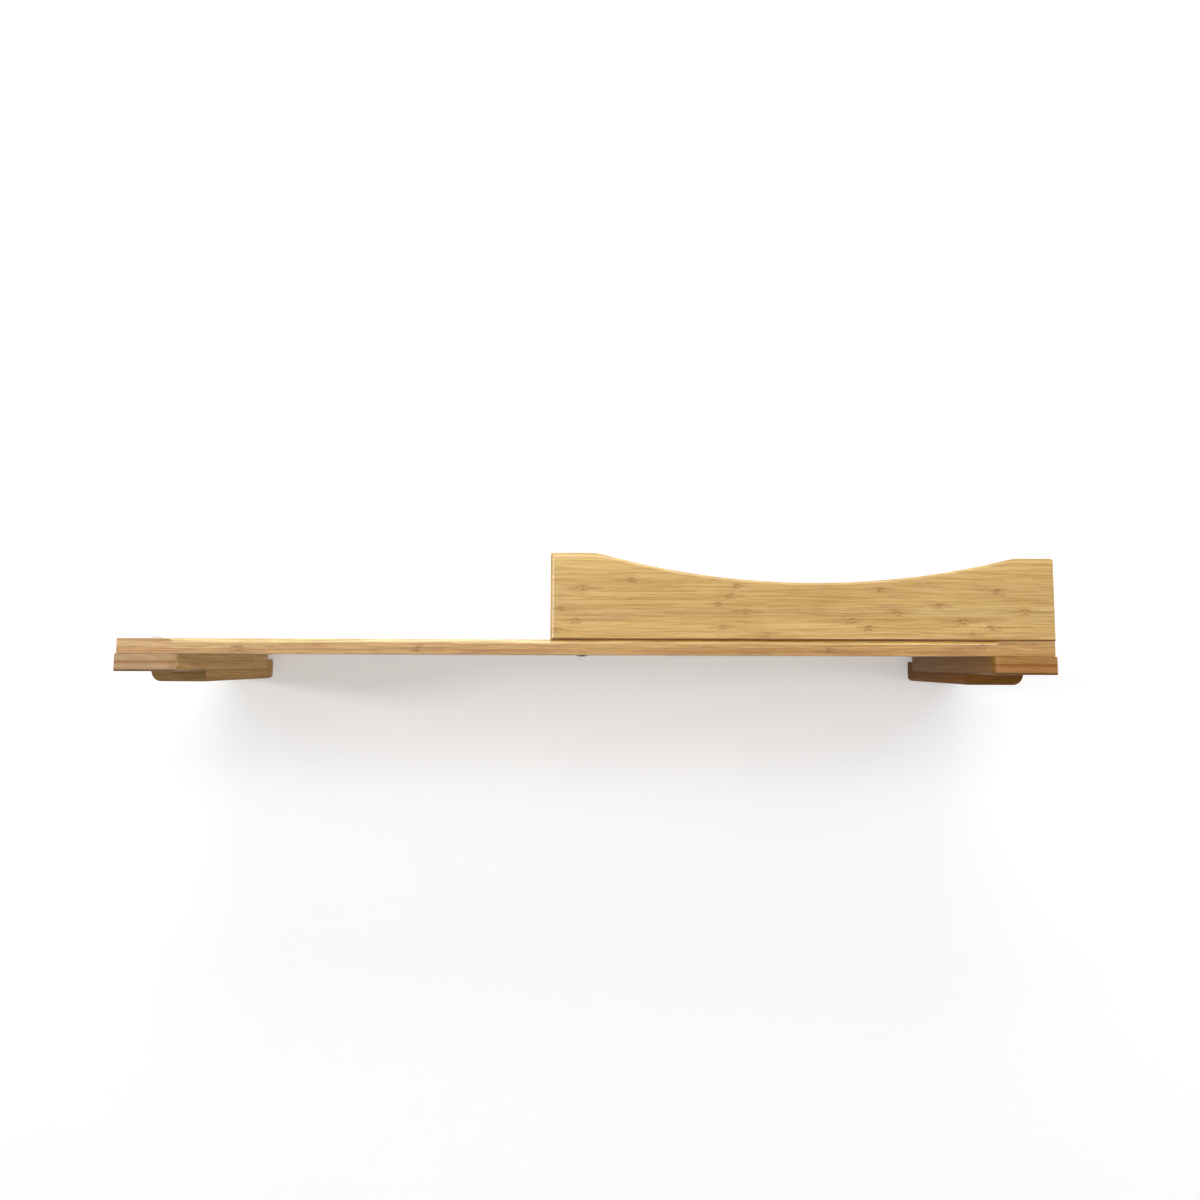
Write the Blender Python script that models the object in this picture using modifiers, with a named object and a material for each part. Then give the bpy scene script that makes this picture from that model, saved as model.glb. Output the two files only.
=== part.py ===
"""Wall-mounted cat bed: a bamboo shelf with a scooped front rail on two stepped brackets.

Frame: metres, +Z up, X along the shelf, the wall is the plane Y = 0 and the front faces -Y.
Z = 0 is the underside of the plank, X = 0 is the middle of its length.
"""

import math

import bmesh
import bpy
from mathutils import Matrix, Vector

# Gap left between two pieces that touch, and between a fastener and its hole
GAP = 0.0003

# Plank
PLANK_LENGTH = 1.080
PLANK_THICK = 0.018
PLANK_FRONT = -0.270
PLANK_BACK = -0.001
PLANK_EASE = 0.0015
NOSE_RADIUS = 0.005
NOSE_HALF_LENGTH = 0.480
NOSE_RUNOUT = 0.007
NOSE_END_SHARE = 0.3

# Front rail with its scoop
RAIL_LEFT = -0.0365
RAIL_THICK = 0.018
RAIL_PROUD = 0.002
RAIL_HEIGHT_LEFT = 0.1002
RAIL_HEIGHT_RIGHT = 0.0944
RAIL_CORNER = 0.0025
SCOOP_CENTRE_X = 0.2672
SCOOP_RADIUS = 0.924
SCOOP_LOW = 0.0657
SCOOP_EASE_RADIUS = 0.055
RAIL_ROUND = 0.006
RAIL_SIDE_ROUND = 0.0045
SCOOP_ROUND = 0.0032
RAIL_FOOT_ROUND = 0.0012
SCOOP_ROUND_FROM = 0.0296
SCOOP_ROUND_TO = 0.4846

# Stepped brackets: an arm, a block under it and a plate on the wall
ARM_WIDTH = 0.071
ARM_THICK = 0.0204
ARM_PROUD = 0.004
ARM_NOSE_RADIUS = 0.010
ARM_CORNER = 0.0012
ARM_EDGE = 0.003
ARM_LAP = 0.005
BLOCK_HEIGHT = 0.0133
BLOCK_SETBACK = 0.068
BLOCK_LEAN = 0.0070
BLOCK_SIDE_INSET = 0.003
BLOCK_OUTER_RADIUS = 0.009
BLOCK_INNER_RADIUS = 0.003
BLOCK_EDGE = 0.0012
PLATE_THICK = 0.019
PLATE_DROP = 0.0067
PLATE_CORNER = 0.006
PLATE_TOP_CORNER = 0.001
TONGUE_THICK = 0.0061
TONGUE_INSET = 0.010

# Fasteners
HEAD_RIM = 0.0005
SUNK_HEAD_RIM = 0.0006
SCREW_POINT = 0.003
DECK_BOLT_POINT = 0.001
POINT_TAPER = 0.6
DECK_BOLT_FROM_END = 0.032
DECK_BOLT_YS = (-0.242, -0.095)
DECK_BOLT_HEAD_RADIUS = 0.007
DECK_BOLT_HEAD_HEIGHT = 0.0024
DECK_BOLT_RADIUS = 0.003
DECK_BOLT_LENGTH = 0.030
HEX_SOCKET_RADIUS = 0.0023
HEX_SOCKET_DEPTH = 0.0015
INSERT_RADIUS = 0.0045
INSERT_LENGTH = 0.013
INSERT_FLANGE = 0.001
INSERT_BARBS = 3
INSERT_RISE = 0.35
INSERT_CREST = 0.5
INSERT_TAPER = 0.0002
INSERT_BARB = 0.0004
INSERT_SINK = 0.0005
RAIL_LINE_Y = -0.261
RAIL_SCREW_INSET = 0.0365
RAIL_SCREW_LENGTH = 0.045
RAIL_SCREW_HEAD_HEIGHT = 0.0016
LONG_SCREW_LENGTH = 0.070
DOWEL_RADIUS = 0.004
DOWEL_LENGTH = 0.025
DOWEL_IN_PLANK = 0.010
DOWEL_EASE = 0.0008
DOWEL_XS = {"left": 0.130, "middle": 0.265, "right": 0.400}
WOOD_SCREW_HEAD = 0.0042
WOOD_SCREW_RADIUS = 0.002
LAP_SCREW_LENGTH = 0.022
LAP_SCREW_OFFSET = 0.012
BLOCK_SCREW_LENGTH = 0.028
BLOCK_SCREW_YS = {"front": -0.150, "rear": -0.045}
WALL_SCREW_HEAD = 0.005
WALL_SCREW_RADIUS = 0.00275
WALL_SCREW_LENGTH = 0.060
WALL_SCREW_OFFSET = 0.026
RECESS_ARM = 0.0022
RECESS_WIDTH = 0.0011
RECESS_TIP_WIDTH = 0.0008
RECESS_DEPTH = 0.0016
SHALLOW_RECESS_DEPTH = 0.0010

# Smoothness of the round shapes
ARC_STEPS = 6
CORNER_STEPS = 8
EASE_STEPS = 4
DOME_STEPS = 5
SCOOP_STEPS = 36
NOSE_STEP_DEGREES = 15
TURN_STEPS = 16
BEVEL_SEGMENTS = 4
MERGE = 0.00001
FLAT_ANGLE = 0.001
SMOOTH_DEGREES = 40

# How far a cutter reaches past the face it cuts
OVERRUN = 0.002

# Colours in linear light, as seen on each finish
BAMBOO_LIGHT = (0.62, 0.39, 0.17)
BAMBOO_EDGE = (0.56, 0.33, 0.14)
BAMBOO_SHADE = (0.42, 0.25, 0.10)
BEECH = (0.60, 0.42, 0.24)
STEEL = (0.55, 0.55, 0.56)
DARK_STEEL = (0.10, 0.10, 0.11)
ZINC = (0.50, 0.46, 0.38)

# Heights and places worked out from the sizes above
HALF_LENGTH = PLANK_LENGTH / 2
ARM_TOP = -GAP
ARM_BOTTOM = ARM_TOP - ARM_THICK
ARM_FRONT = PLANK_FRONT - ARM_PROUD
ARM_INNER = HALF_LENGTH - ARM_WIDTH
ARM_CENTRE = HALF_LENGTH - ARM_WIDTH / 2
BLOCK_TOP = ARM_BOTTOM - GAP
BLOCK_BOTTOM = BLOCK_TOP - BLOCK_HEIGHT
BLOCK_FRONT = PLANK_FRONT + BLOCK_SETBACK
PLATE_TOP = -PLATE_DROP
PLATE_MIDDLE_Z = (PLATE_TOP + BLOCK_BOTTOM) / 2
BLOCK_OUTER = HALF_LENGTH - BLOCK_SIDE_INSET
SHOULDER_Y = -PLATE_THICK - GAP
RAIL_BASE = PLANK_THICK + GAP
RAIL_FRONT = PLANK_FRONT - RAIL_PROUD
RAIL_BACK = RAIL_FRONT + RAIL_THICK
DECK_BOLT_X = HALF_LENGTH - DECK_BOLT_FROM_END
RAIL_SCREW_X = RAIL_LEFT + RAIL_SCREW_INSET
LONG_SCREW_X = HALF_LENGTH - RAIL_SCREW_INSET

PARTS_NAME = "wall_mounted_cat_bed"
CUTTERS_NAME = "cutters"
EMPTY_SIZE = 0.03
SIDES = (("left", -1), ("right", 1))
FACE_DOWN = (math.pi, 0, 0)
FACE_FRONT = (math.pi / 2, 0, 0)


def clear_scene():
    """Empty the file of objects, meshes, curves, materials and collections."""
    for obj in list(bpy.data.objects):
        bpy.data.objects.remove(obj, do_unlink=True)
    for blocks in (bpy.data.meshes, bpy.data.curves, bpy.data.materials, bpy.data.collections):
        for block in list(blocks):
            blocks.remove(block)


def new_collection(name):
    """Add a collection under the scene's own."""
    collection = bpy.data.collections.new(name)
    bpy.context.scene.collection.children.link(collection)
    return collection


def link_mesh(name, mesh, collection, location=(0, 0, 0)):
    """Wrap a mesh in an object at a place."""
    obj = bpy.data.objects.new(name, mesh)
    obj.location = location
    collection.objects.link(obj)
    return obj


def set_finish(obj, colour, roughness, metallic=0.0):
    """Give an object its own Principled material."""
    material = bpy.data.materials.new(obj.name + "_finish")
    material.use_nodes = True
    shader = material.node_tree.nodes["Principled BSDF"]
    shader.inputs["Base Color"].default_value = (*colour, 1.0)
    shader.inputs["Roughness"].default_value = roughness
    shader.inputs["Metallic"].default_value = metallic
    obj.data.materials.clear()
    obj.data.materials.append(material)


def box(name, low, high, collection):
    """A box between two corners, with its origin at its centre."""
    low = Vector(low)
    high = Vector(high)
    mesh = bpy.data.meshes.new(name)
    bm = bmesh.new()
    bmesh.ops.create_cube(bm, size=1.0, matrix=Matrix.Diagonal((*(high - low), 1.0)))
    bm.to_mesh(mesh)
    bm.free()
    return link_mesh(name, mesh, collection, (low + high) / 2)


def arc(centre, radius, start, end, steps=ARC_STEPS):
    """Points on an arc, with angles in degrees, both ends included."""
    points = []
    for step in range(steps + 1):
        angle = math.radians(start + (end - start) * step / steps)
        points.append((centre[0] + radius * math.cos(angle), centre[1] + radius * math.sin(angle)))
    return points


def outline_solid(name, points, near, far, upright, collection):
    """Extrude a flat outline: upright ones lie in X-Z and run along Y, others lie in X-Y along Z."""
    curve = bpy.data.curves.new(name + "_outline", "CURVE")
    curve.dimensions = "2D"
    curve.fill_mode = "BOTH"
    curve.extrude = (far - near) / 2
    spline = curve.splines.new("POLY")
    spline.points.add(len(points) - 1)
    for point, (across, along) in zip(spline.points, points):
        point.co = (across, along, 0, 1)
    spline.use_cyclic_u = True
    guide = bpy.data.objects.new(name + "_outline", curve)
    collection.objects.link(guide)
    bpy.context.view_layer.update()
    graph = bpy.context.evaluated_depsgraph_get()
    mesh = bpy.data.meshes.new_from_object(guide.evaluated_get(graph))
    bpy.data.objects.remove(guide, do_unlink=True)
    bpy.data.curves.remove(curve)
    mesh.name = name
    bm = bmesh.new()
    bm.from_mesh(mesh)
    bmesh.ops.remove_doubles(bm, verts=bm.verts, dist=MERGE)
    bmesh.ops.dissolve_limit(bm, angle_limit=FLAT_ANGLE, verts=bm.verts, edges=bm.edges)
    bmesh.ops.recalc_face_normals(bm, faces=bm.faces)
    turn = Matrix.Rotation(math.pi / 2, 4, "X") if upright else Matrix.Identity(4)
    bmesh.ops.transform(bm, matrix=turn, verts=bm.verts)
    bm.to_mesh(mesh)
    bm.free()
    middle = (near + far) / 2
    return link_mesh(name, mesh, collection, (0, middle, 0) if upright else (0, 0, middle))


def round_edges(obj, rule, largest):
    """Bevel the edges that a rule gives a radius, from the ends of each edge in world space."""
    bm = bmesh.new()
    bm.from_mesh(obj.data)
    weight = bm.edges.layers.float.new("bevel_weight_edge")
    place = Vector(obj.location)
    for edge in bm.edges:
        ends = [vertex.co + place for vertex in edge.verts]
        edge[weight] = rule(*ends) / largest
    bm.to_mesh(obj.data)
    bm.free()
    bevel = obj.modifiers.new("rounding", "BEVEL")
    bevel.limit_method = "WEIGHT"
    bevel.width = largest
    bevel.segments = BEVEL_SEGMENTS
    bevel.use_clamp_overlap = False
    return bevel


def turned(name, profile, collection, closed=False, steps=TURN_STEPS):
    """Turn a profile of radius and height round Z with a Screw modifier."""
    mesh = bpy.data.meshes.new(name)
    count = len(profile)
    edges = [(index, index + 1) for index in range(count - 1)]
    if closed:
        edges.append((count - 1, 0))
    mesh.from_pydata([(radius, 0, height) for radius, height in profile], edges, [])
    obj = link_mesh(name, mesh, collection)
    screw = obj.modifiers.new("turning", "SCREW")
    screw.axis = "Z"
    screw.angle = math.tau
    screw.steps = steps
    screw.render_steps = steps
    screw.use_merge_vertices = True
    screw.merge_threshold = MERGE
    weld = obj.modifiers.new("axis_weld", "WELD")
    weld.merge_threshold = MERGE
    return obj


def applied_mesh(obj):
    """The mesh of an object with its modifiers applied, after which the object is removed."""
    bpy.context.view_layer.update()
    graph = bpy.context.evaluated_depsgraph_get()
    mesh = bpy.data.meshes.new_from_object(obj.evaluated_get(graph))
    mesh.name = obj.name
    bpy.data.objects.remove(obj, do_unlink=True)
    return mesh


def combine(obj, other, operation):
    """Add a Boolean with another object, which is then hidden."""
    boolean = obj.modifiers.new("with_" + other.name, "BOOLEAN")
    boolean.operation = operation
    boolean.solver = "EXACT"
    boolean.object = other
    other.hide_render = True
    other.display_type = "WIRE"


def cut(obj, cutter):
    """Take a cutter's shape out of an object."""
    combine(obj, cutter, "DIFFERENCE")


def smooth(obj):
    """Shade the round faces smooth and keep the corners sharp."""
    obj.data.shade_smooth()
    obj.data.set_sharp_from_angle(angle=math.radians(SMOOTH_DEGREES))


def drill(obj, name, cutters, profile, location, turn=(0, 0, 0)):
    """Cut a turned hole into an object."""
    cutter = turned(name, profile, cutters)
    cutter.location = location
    cutter.rotation_euler = turn
    cut(obj, cutter)


def bore(radius, top, bottom):
    """Profile of a plain round hole from one height down to another."""
    wide = radius + GAP
    return [(0, top), (wide, top), (wide, bottom), (0, bottom)]


def sunk_screw(head, shank, length, grow=0.0):
    """Profile of a countersunk screw with its head's face at height 0, or of its hole."""
    rim = head + grow
    body = shank + grow
    top = grow * 2
    tip = length + grow
    taper = SUNK_HEAD_RIM + head - shank
    return [
        (0, top),
        (rim, top),
        (rim, -SUNK_HEAD_RIM),
        (body, -taper),
        (body, -tip + shank * 2),
        (0, -tip),
    ]


def dome_profile(head_radius, head_height, shank, length, point):
    """Profile of a low-domed head over a shank whose bearing face is at height 0."""
    rise = head_height - HEAD_RIM
    curve = (head_radius ** 2 + rise ** 2) / (2 * rise)
    sweep = math.degrees(math.asin(head_radius / curve))
    dome = arc((0, head_height - curve), curve, 90, 90 - sweep, DOME_STEPS)
    dome[0] = (0, head_height)
    tip = shank - point * POINT_TAPER
    return dome + [(head_radius, 0), (shank, 0), (shank, -length + point), (tip, -length), (0, -length)]


def recess_outline():
    """Cross shape of a screw's drive recess."""
    arm = RECESS_ARM
    root = RECESS_WIDTH / 2
    tip = RECESS_TIP_WIDTH / 2
    quarter = [(arm, -tip), (arm, tip), (root, root)]
    points = []
    for turn in range(4):
        angle = turn * math.pi / 2
        for across, along in quarter:
            points.append((
                across * math.cos(angle) - along * math.sin(angle),
                across * math.sin(angle) + along * math.cos(angle),
            ))
    return points


def flat_capped(name, profile, cutters):
    """A turned object whose flat ends are single faces, ready to be cut."""
    mesh = applied_mesh(turned(name, profile, cutters))
    bm = bmesh.new()
    bm.from_mesh(mesh)
    bmesh.ops.dissolve_limit(bm, angle_limit=FLAT_ANGLE, verts=bm.verts, edges=bm.edges)
    bm.to_mesh(mesh)
    bm.free()
    return link_mesh(name, mesh, cutters)


def screw_mesh(name, profile, cutters, face=0.0, depth=RECESS_DEPTH):
    """Mesh of a screw with a cross recess sunk from the height of its head's face."""
    screw = flat_capped(name, profile, cutters)
    recess = outline_solid(name + "_recess", recess_outline(), face - depth, face + depth, False, cutters)
    cut(screw, recess)
    return applied_mesh(screw)


def deck_bolt_mesh(cutters):
    """Mesh of a domed bolt with a hexagon socket."""
    profile = dome_profile(DECK_BOLT_HEAD_RADIUS, DECK_BOLT_HEAD_HEIGHT, DECK_BOLT_RADIUS,
                           DECK_BOLT_LENGTH, DECK_BOLT_POINT)
    bolt = flat_capped("deck_bolt", profile, cutters)
    low = DECK_BOLT_HEAD_HEIGHT - HEX_SOCKET_DEPTH
    hexagon = arc((0, 0), HEX_SOCKET_RADIUS, 0, 300, 5)
    high = low + 2 * HEX_SOCKET_DEPTH
    socket = outline_solid("deck_bolt_socket", hexagon, low, high, False, cutters)
    cut(bolt, socket)
    return applied_mesh(bolt)


def insert_mesh(cutters):
    """Mesh of a threaded insert: a sleeve with three barbs and a short flange."""
    bore_radius = DECK_BOLT_RADIUS + GAP
    root = INSERT_RADIUS - INSERT_BARB
    flange = -INSERT_FLANGE
    profile = [(bore_radius, 0), (INSERT_RADIUS, 0), (INSERT_RADIUS, flange), (root, flange)]
    pitch = (INSERT_LENGTH - 2 * INSERT_FLANGE) / INSERT_BARBS
    for barb in range(INSERT_BARBS):
        start = flange - barb * pitch
        profile.append((root, start - pitch * INSERT_RISE))
        profile.append((INSERT_RADIUS, start - pitch * INSERT_CREST))
        profile.append((root, start - pitch))
    profile.append((root - INSERT_TAPER, -INSERT_LENGTH))
    profile.append((bore_radius, -INSERT_LENGTH))
    return applied_mesh(turned("insert", profile, cutters, closed=True))


def place_copy(name, mesh, parts, location, turn=(0, 0, 0)):
    """One more object with a copy of a shared mesh."""
    obj = link_mesh(name, mesh.copy(), parts, location)
    obj.rotation_euler = turn
    smooth(obj)
    return obj


def make_nose_cutter(cutters):
    """Bar that rounds the plank's front top edge and runs out before both ends."""
    radius = NOSE_RADIUS
    section = []
    for degrees in range(0, 91, NOSE_STEP_DEGREES):
        angle = math.radians(degrees)
        depth = PLANK_FRONT + radius - radius * math.sin(angle)
        section.append((depth, PLANK_THICK - radius + radius * math.cos(angle)))
    outside = PLANK_FRONT - OVERRUN
    above = PLANK_THICK + OVERRUN
    section += [(outside, PLANK_THICK - radius), (outside, above), (PLANK_FRONT + radius, above)]
    corner = Vector((outside, above))
    full = NOSE_HALF_LENGTH - NOSE_RUNOUT
    stations = [(-full, 1.0), (full, 1.0), (NOSE_HALF_LENGTH, NOSE_END_SHARE)]
    stations.insert(0, (-NOSE_HALF_LENGTH, NOSE_END_SHARE))
    bm = bmesh.new()
    rings = []
    for along, share in stations:
        ring = []
        for depth, height in section:
            point = corner.lerp(Vector((depth, height)), share)
            ring.append(bm.verts.new((along, point.x, point.y)))
        rings.append(ring)
    count = len(section)
    for first, second in zip(rings, rings[1:]):
        for index in range(count):
            after = (index + 1) % count
            bm.faces.new((first[index], first[after], second[after], second[index]))
    bm.faces.new(rings[0])
    bm.faces.new(rings[-1])
    bmesh.ops.recalc_face_normals(bm, faces=bm.faces)
    mesh = bpy.data.meshes.new("plank_nose_cutter")
    bm.to_mesh(mesh)
    bm.free()
    return link_mesh("plank_nose_cutter", mesh, cutters)


def make_plank(parts, cutters):
    """The shelf board, with a stopped rounding on its front top edge and its fastener holes."""
    low = (-HALF_LENGTH, PLANK_FRONT, 0)
    high = (HALF_LENGTH, PLANK_BACK, PLANK_THICK)
    plank = box("shelf_plank", low, high, parts)

    def rule(first, second):
        at_end = abs(first.x) > HALF_LENGTH - GAP and abs(second.x) > HALF_LENGTH - GAP
        low = first.z < GAP and second.z < GAP
        return PLANK_EASE if at_end and low and first.x * second.x > 0 else 0.0

    round_edges(plank, rule, PLANK_EASE)
    cut(plank, make_nose_cutter(cutters))
    above = PLANK_THICK + OVERRUN
    through = bore(DECK_BOLT_RADIUS, above, -OVERRUN)
    for side, sign in SIDES:
        for name, depth in zip(("front", "rear"), DECK_BOLT_YS):
            place = (sign * DECK_BOLT_X, depth, 0)
            drill(plank, f"plank_{side}_bolt_{name}", cutters, through, place)
    through = bore(WOOD_SCREW_RADIUS, above, -OVERRUN)
    for name, across in (("left", RAIL_SCREW_X), ("right", LONG_SCREW_X)):
        drill(plank, f"plank_rail_screw_{name}", cutters, through, (across, RAIL_LINE_Y, 0))
    blind = bore(DOWEL_RADIUS, above, PLANK_THICK - DOWEL_IN_PLANK - GAP)
    for name, across in DOWEL_XS.items():
        drill(plank, f"plank_dowel_{name}", cutters, blind, (across, RAIL_LINE_Y, 0))
    set_finish(plank, BAMBOO_LIGHT, 0.45)
    smooth(plank)
    return plank


def scoop_points(left_top, right_top):
    """The rail's top edge from right to left: flat, eased corner, circular scoop, corner, flat."""
    centre_z = RAIL_BASE + SCOOP_LOW + SCOOP_RADIUS
    ease = SCOOP_EASE_RADIUS
    reach = SCOOP_RADIUS + ease
    points = []
    ends = []
    for top, sign in ((right_top, 1), (left_top, -1)):
        ease_z = top - ease
        drop = centre_z - ease_z
        across = math.sqrt(reach ** 2 - drop ** 2)
        angle = math.degrees(math.atan2(across, drop))
        ends.append((SCOOP_CENTRE_X + sign * across, ease_z, angle))
    right_x, right_z, right_angle = ends[0]
    left_x, left_z, left_angle = ends[1]
    start = -90 + right_angle
    end = -90 - left_angle
    points += arc((right_x, right_z), ease, 90, 90 + right_angle, EASE_STEPS)
    points += arc((SCOOP_CENTRE_X, centre_z), SCOOP_RADIUS, start, end, SCOOP_STEPS)[1:-1]
    points += arc((left_x, left_z), ease, 90 - left_angle, 90, EASE_STEPS)
    return points


def make_rail(parts, cutters):
    """The front rail, upright on the plank's front edge."""
    left_top = RAIL_BASE + RAIL_HEIGHT_LEFT
    right_top = RAIL_BASE + RAIL_HEIGHT_RIGHT
    points = [(RAIL_LEFT, RAIL_BASE), (HALF_LENGTH, RAIL_BASE), (HALF_LENGTH, right_top)]
    points += scoop_points(left_top, right_top)
    points += [(RAIL_LEFT, left_top)]
    rail = outline_solid("front_rail", points, RAIL_FRONT, RAIL_BACK, True, parts)

    def rule(first, second):
        middle = (first.x + second.x) / 2
        at_right = middle > HALF_LENGTH - GAP
        at_base = first.z < RAIL_BASE + GAP and second.z < RAIL_BASE + GAP
        if abs(first.y - second.y) > GAP:
            at_corner = at_right or middle < RAIL_LEFT + GAP
            return RAIL_CORNER if at_corner and not at_base else 0.0
        if at_base or at_right:
            return RAIL_FOOT_ROUND
        if middle < RAIL_LEFT + GAP:
            return RAIL_SIDE_ROUND
        return SCOOP_ROUND if SCOOP_ROUND_FROM < middle < SCOOP_ROUND_TO else RAIL_ROUND

    round_edges(rail, rule, RAIL_ROUND)
    below = RAIL_BASE - OVERRUN
    for name, across, length, start in (
        ("left", RAIL_SCREW_X, RAIL_SCREW_LENGTH, 0.0),
        ("right", LONG_SCREW_X, LONG_SCREW_LENGTH, ARM_BOTTOM),
    ):
        hole = bore(WOOD_SCREW_RADIUS, start + length + GAP, below)
        drill(rail, f"rail_screw_hole_{name}", cutters, hole, (across, RAIL_LINE_Y, 0))
    hole = bore(DOWEL_RADIUS, PLANK_THICK - DOWEL_IN_PLANK + DOWEL_LENGTH + GAP, below)
    for name, across in DOWEL_XS.items():
        drill(rail, f"rail_dowel_hole_{name}", cutters, hole, (across, RAIL_LINE_Y, 0))
    set_finish(rail, BAMBOO_LIGHT, 0.45)
    smooth(rail)
    return rail


def make_rail_fixings(parts, cutters):
    """Two screws driven up through the plank into the rail, and three dowels between them."""
    height = RAIL_SCREW_HEAD_HEIGHT
    profile = dome_profile(DECK_BOLT_HEAD_RADIUS, height, WOOD_SCREW_RADIUS, RAIL_SCREW_LENGTH, SCREW_POINT)
    mesh = screw_mesh("washer_head_screw", profile, cutters, height, SHALLOW_RECESS_DEPTH)
    left = place_copy("rail_screw_left", mesh, parts, (RAIL_SCREW_X, RAIL_LINE_Y, -GAP), FACE_DOWN)
    set_finish(left, DARK_STEEL, 0.4, 1.0)
    profile = sunk_screw(WOOD_SCREW_HEAD, WOOD_SCREW_RADIUS, LONG_SCREW_LENGTH)
    mesh = screw_mesh("long_screw", profile, cutters)
    place = (LONG_SCREW_X, RAIL_LINE_Y, ARM_BOTTOM)
    right = place_copy("rail_screw_right", mesh, parts, place, FACE_DOWN)
    set_finish(right, STEEL, 0.35, 1.0)
    half = DOWEL_LENGTH / 2
    edge = DOWEL_EASE
    profile = [(0, half), (DOWEL_RADIUS - edge, half), (DOWEL_RADIUS, half - edge),
               (DOWEL_RADIUS, -half + edge), (DOWEL_RADIUS - edge, -half), (0, -half)]
    mesh = applied_mesh(turned("dowel", profile, cutters))
    for name, across in DOWEL_XS.items():
        height = PLANK_THICK - DOWEL_IN_PLANK + half
        dowel = place_copy(f"rail_dowel_{name}", mesh, parts, (across, RAIL_LINE_Y, height))
        set_finish(dowel, BEECH, 0.7)


def make_arm(side, sign, parts, cutters):
    """The bracket's upper arm: rounded below ahead of the block, lapped over the wall plate at its rear."""
    inner = sign * ARM_INNER
    outer = sign * HALF_LENGTH
    back = BLOCK_FRONT + ARM_LAP
    nose = ARM_NOSE_RADIUS
    corner = ARM_CORNER
    points = [(inner, back), (outer, back)]
    outer_arc = arc((HALF_LENGTH - corner, ARM_FRONT + corner), corner, 0, -90, 3)
    inner_arc = arc((ARM_INNER + nose, ARM_FRONT + nose), nose, -90, -180, CORNER_STEPS)
    points += [(sign * across, along) for across, along in outer_arc + inner_arc]
    arm = outline_solid(f"{side}_arm", points, ARM_BOTTOM, ARM_TOP, False, parts)

    def rule(first, second):
        low = first.z < ARM_BOTTOM + GAP and second.z < ARM_BOTTOM + GAP
        at_back = first.y > back - GAP and second.y > back - GAP
        at_outer = min(abs(first.x), abs(second.x)) > HALF_LENGTH - GAP
        return ARM_EDGE if low and not at_back and not at_outer else 0.0

    round_edges(arm, rule, ARM_EDGE)
    rear = box(f"{side}_arm_rear", (min(inner, outer), BLOCK_FRONT, ARM_BOTTOM),
               (max(inner, outer), PLANK_BACK, ARM_TOP), cutters)
    combine(arm, rear, "UNION")
    centre = sign * ARM_CENTRE
    low = (centre - ARM_WIDTH, SHOULDER_Y, ARM_BOTTOM - OVERRUN)
    high = (centre + ARM_WIDTH, OVERRUN, ARM_TOP - TONGUE_THICK)
    cut(arm, box(f"{side}_arm_rebate", low, high, cutters))
    beside = (sign * (ARM_INNER - OVERRUN), sign * (ARM_INNER + TONGUE_INSET))
    low = (min(beside), SHOULDER_Y, ARM_BOTTOM - OVERRUN)
    high = (max(beside), OVERRUN, ARM_TOP + OVERRUN)
    cut(arm, box(f"{side}_arm_notch", low, high, cutters))
    pocket = bore(INSERT_RADIUS, OVERRUN, -INSERT_SINK - INSERT_LENGTH - 2 * GAP)
    for name, depth in zip(("front", "rear"), DECK_BOLT_YS):
        drill(arm, f"{side}_insert_hole_{name}", cutters, pocket, (sign * DECK_BOLT_X, depth, 0))
    hole = sunk_screw(WOOD_SCREW_HEAD, WOOD_SCREW_RADIUS, LAP_SCREW_LENGTH, GAP)
    for name, offset in (("outer", LAP_SCREW_OFFSET), ("inner", -LAP_SCREW_OFFSET)):
        place = (sign * (ARM_CENTRE + offset), -PLATE_THICK / 2, ARM_TOP - GAP)
        drill(arm, f"{side}_arm_lap_hole_{name}", cutters, hole, place)
    hole = bore(WOOD_SCREW_RADIUS, BLOCK_BOTTOM + BLOCK_SCREW_LENGTH + GAP, ARM_BOTTOM - OVERRUN)
    for name, depth in BLOCK_SCREW_YS.items():
        drill(arm, f"{side}_arm_block_hole_{name}", cutters, hole, (centre, depth, 0))
    if sign > 0:
        hole = sunk_screw(WOOD_SCREW_HEAD, WOOD_SCREW_RADIUS, LONG_SCREW_LENGTH, GAP)
        place = (LONG_SCREW_X, RAIL_LINE_Y, ARM_BOTTOM)
        drill(arm, f"{side}_arm_rail_screw_hole", cutters, hole, place, FACE_DOWN)
    set_finish(arm, BAMBOO_EDGE, 0.5)
    smooth(arm)
    return arm


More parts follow.
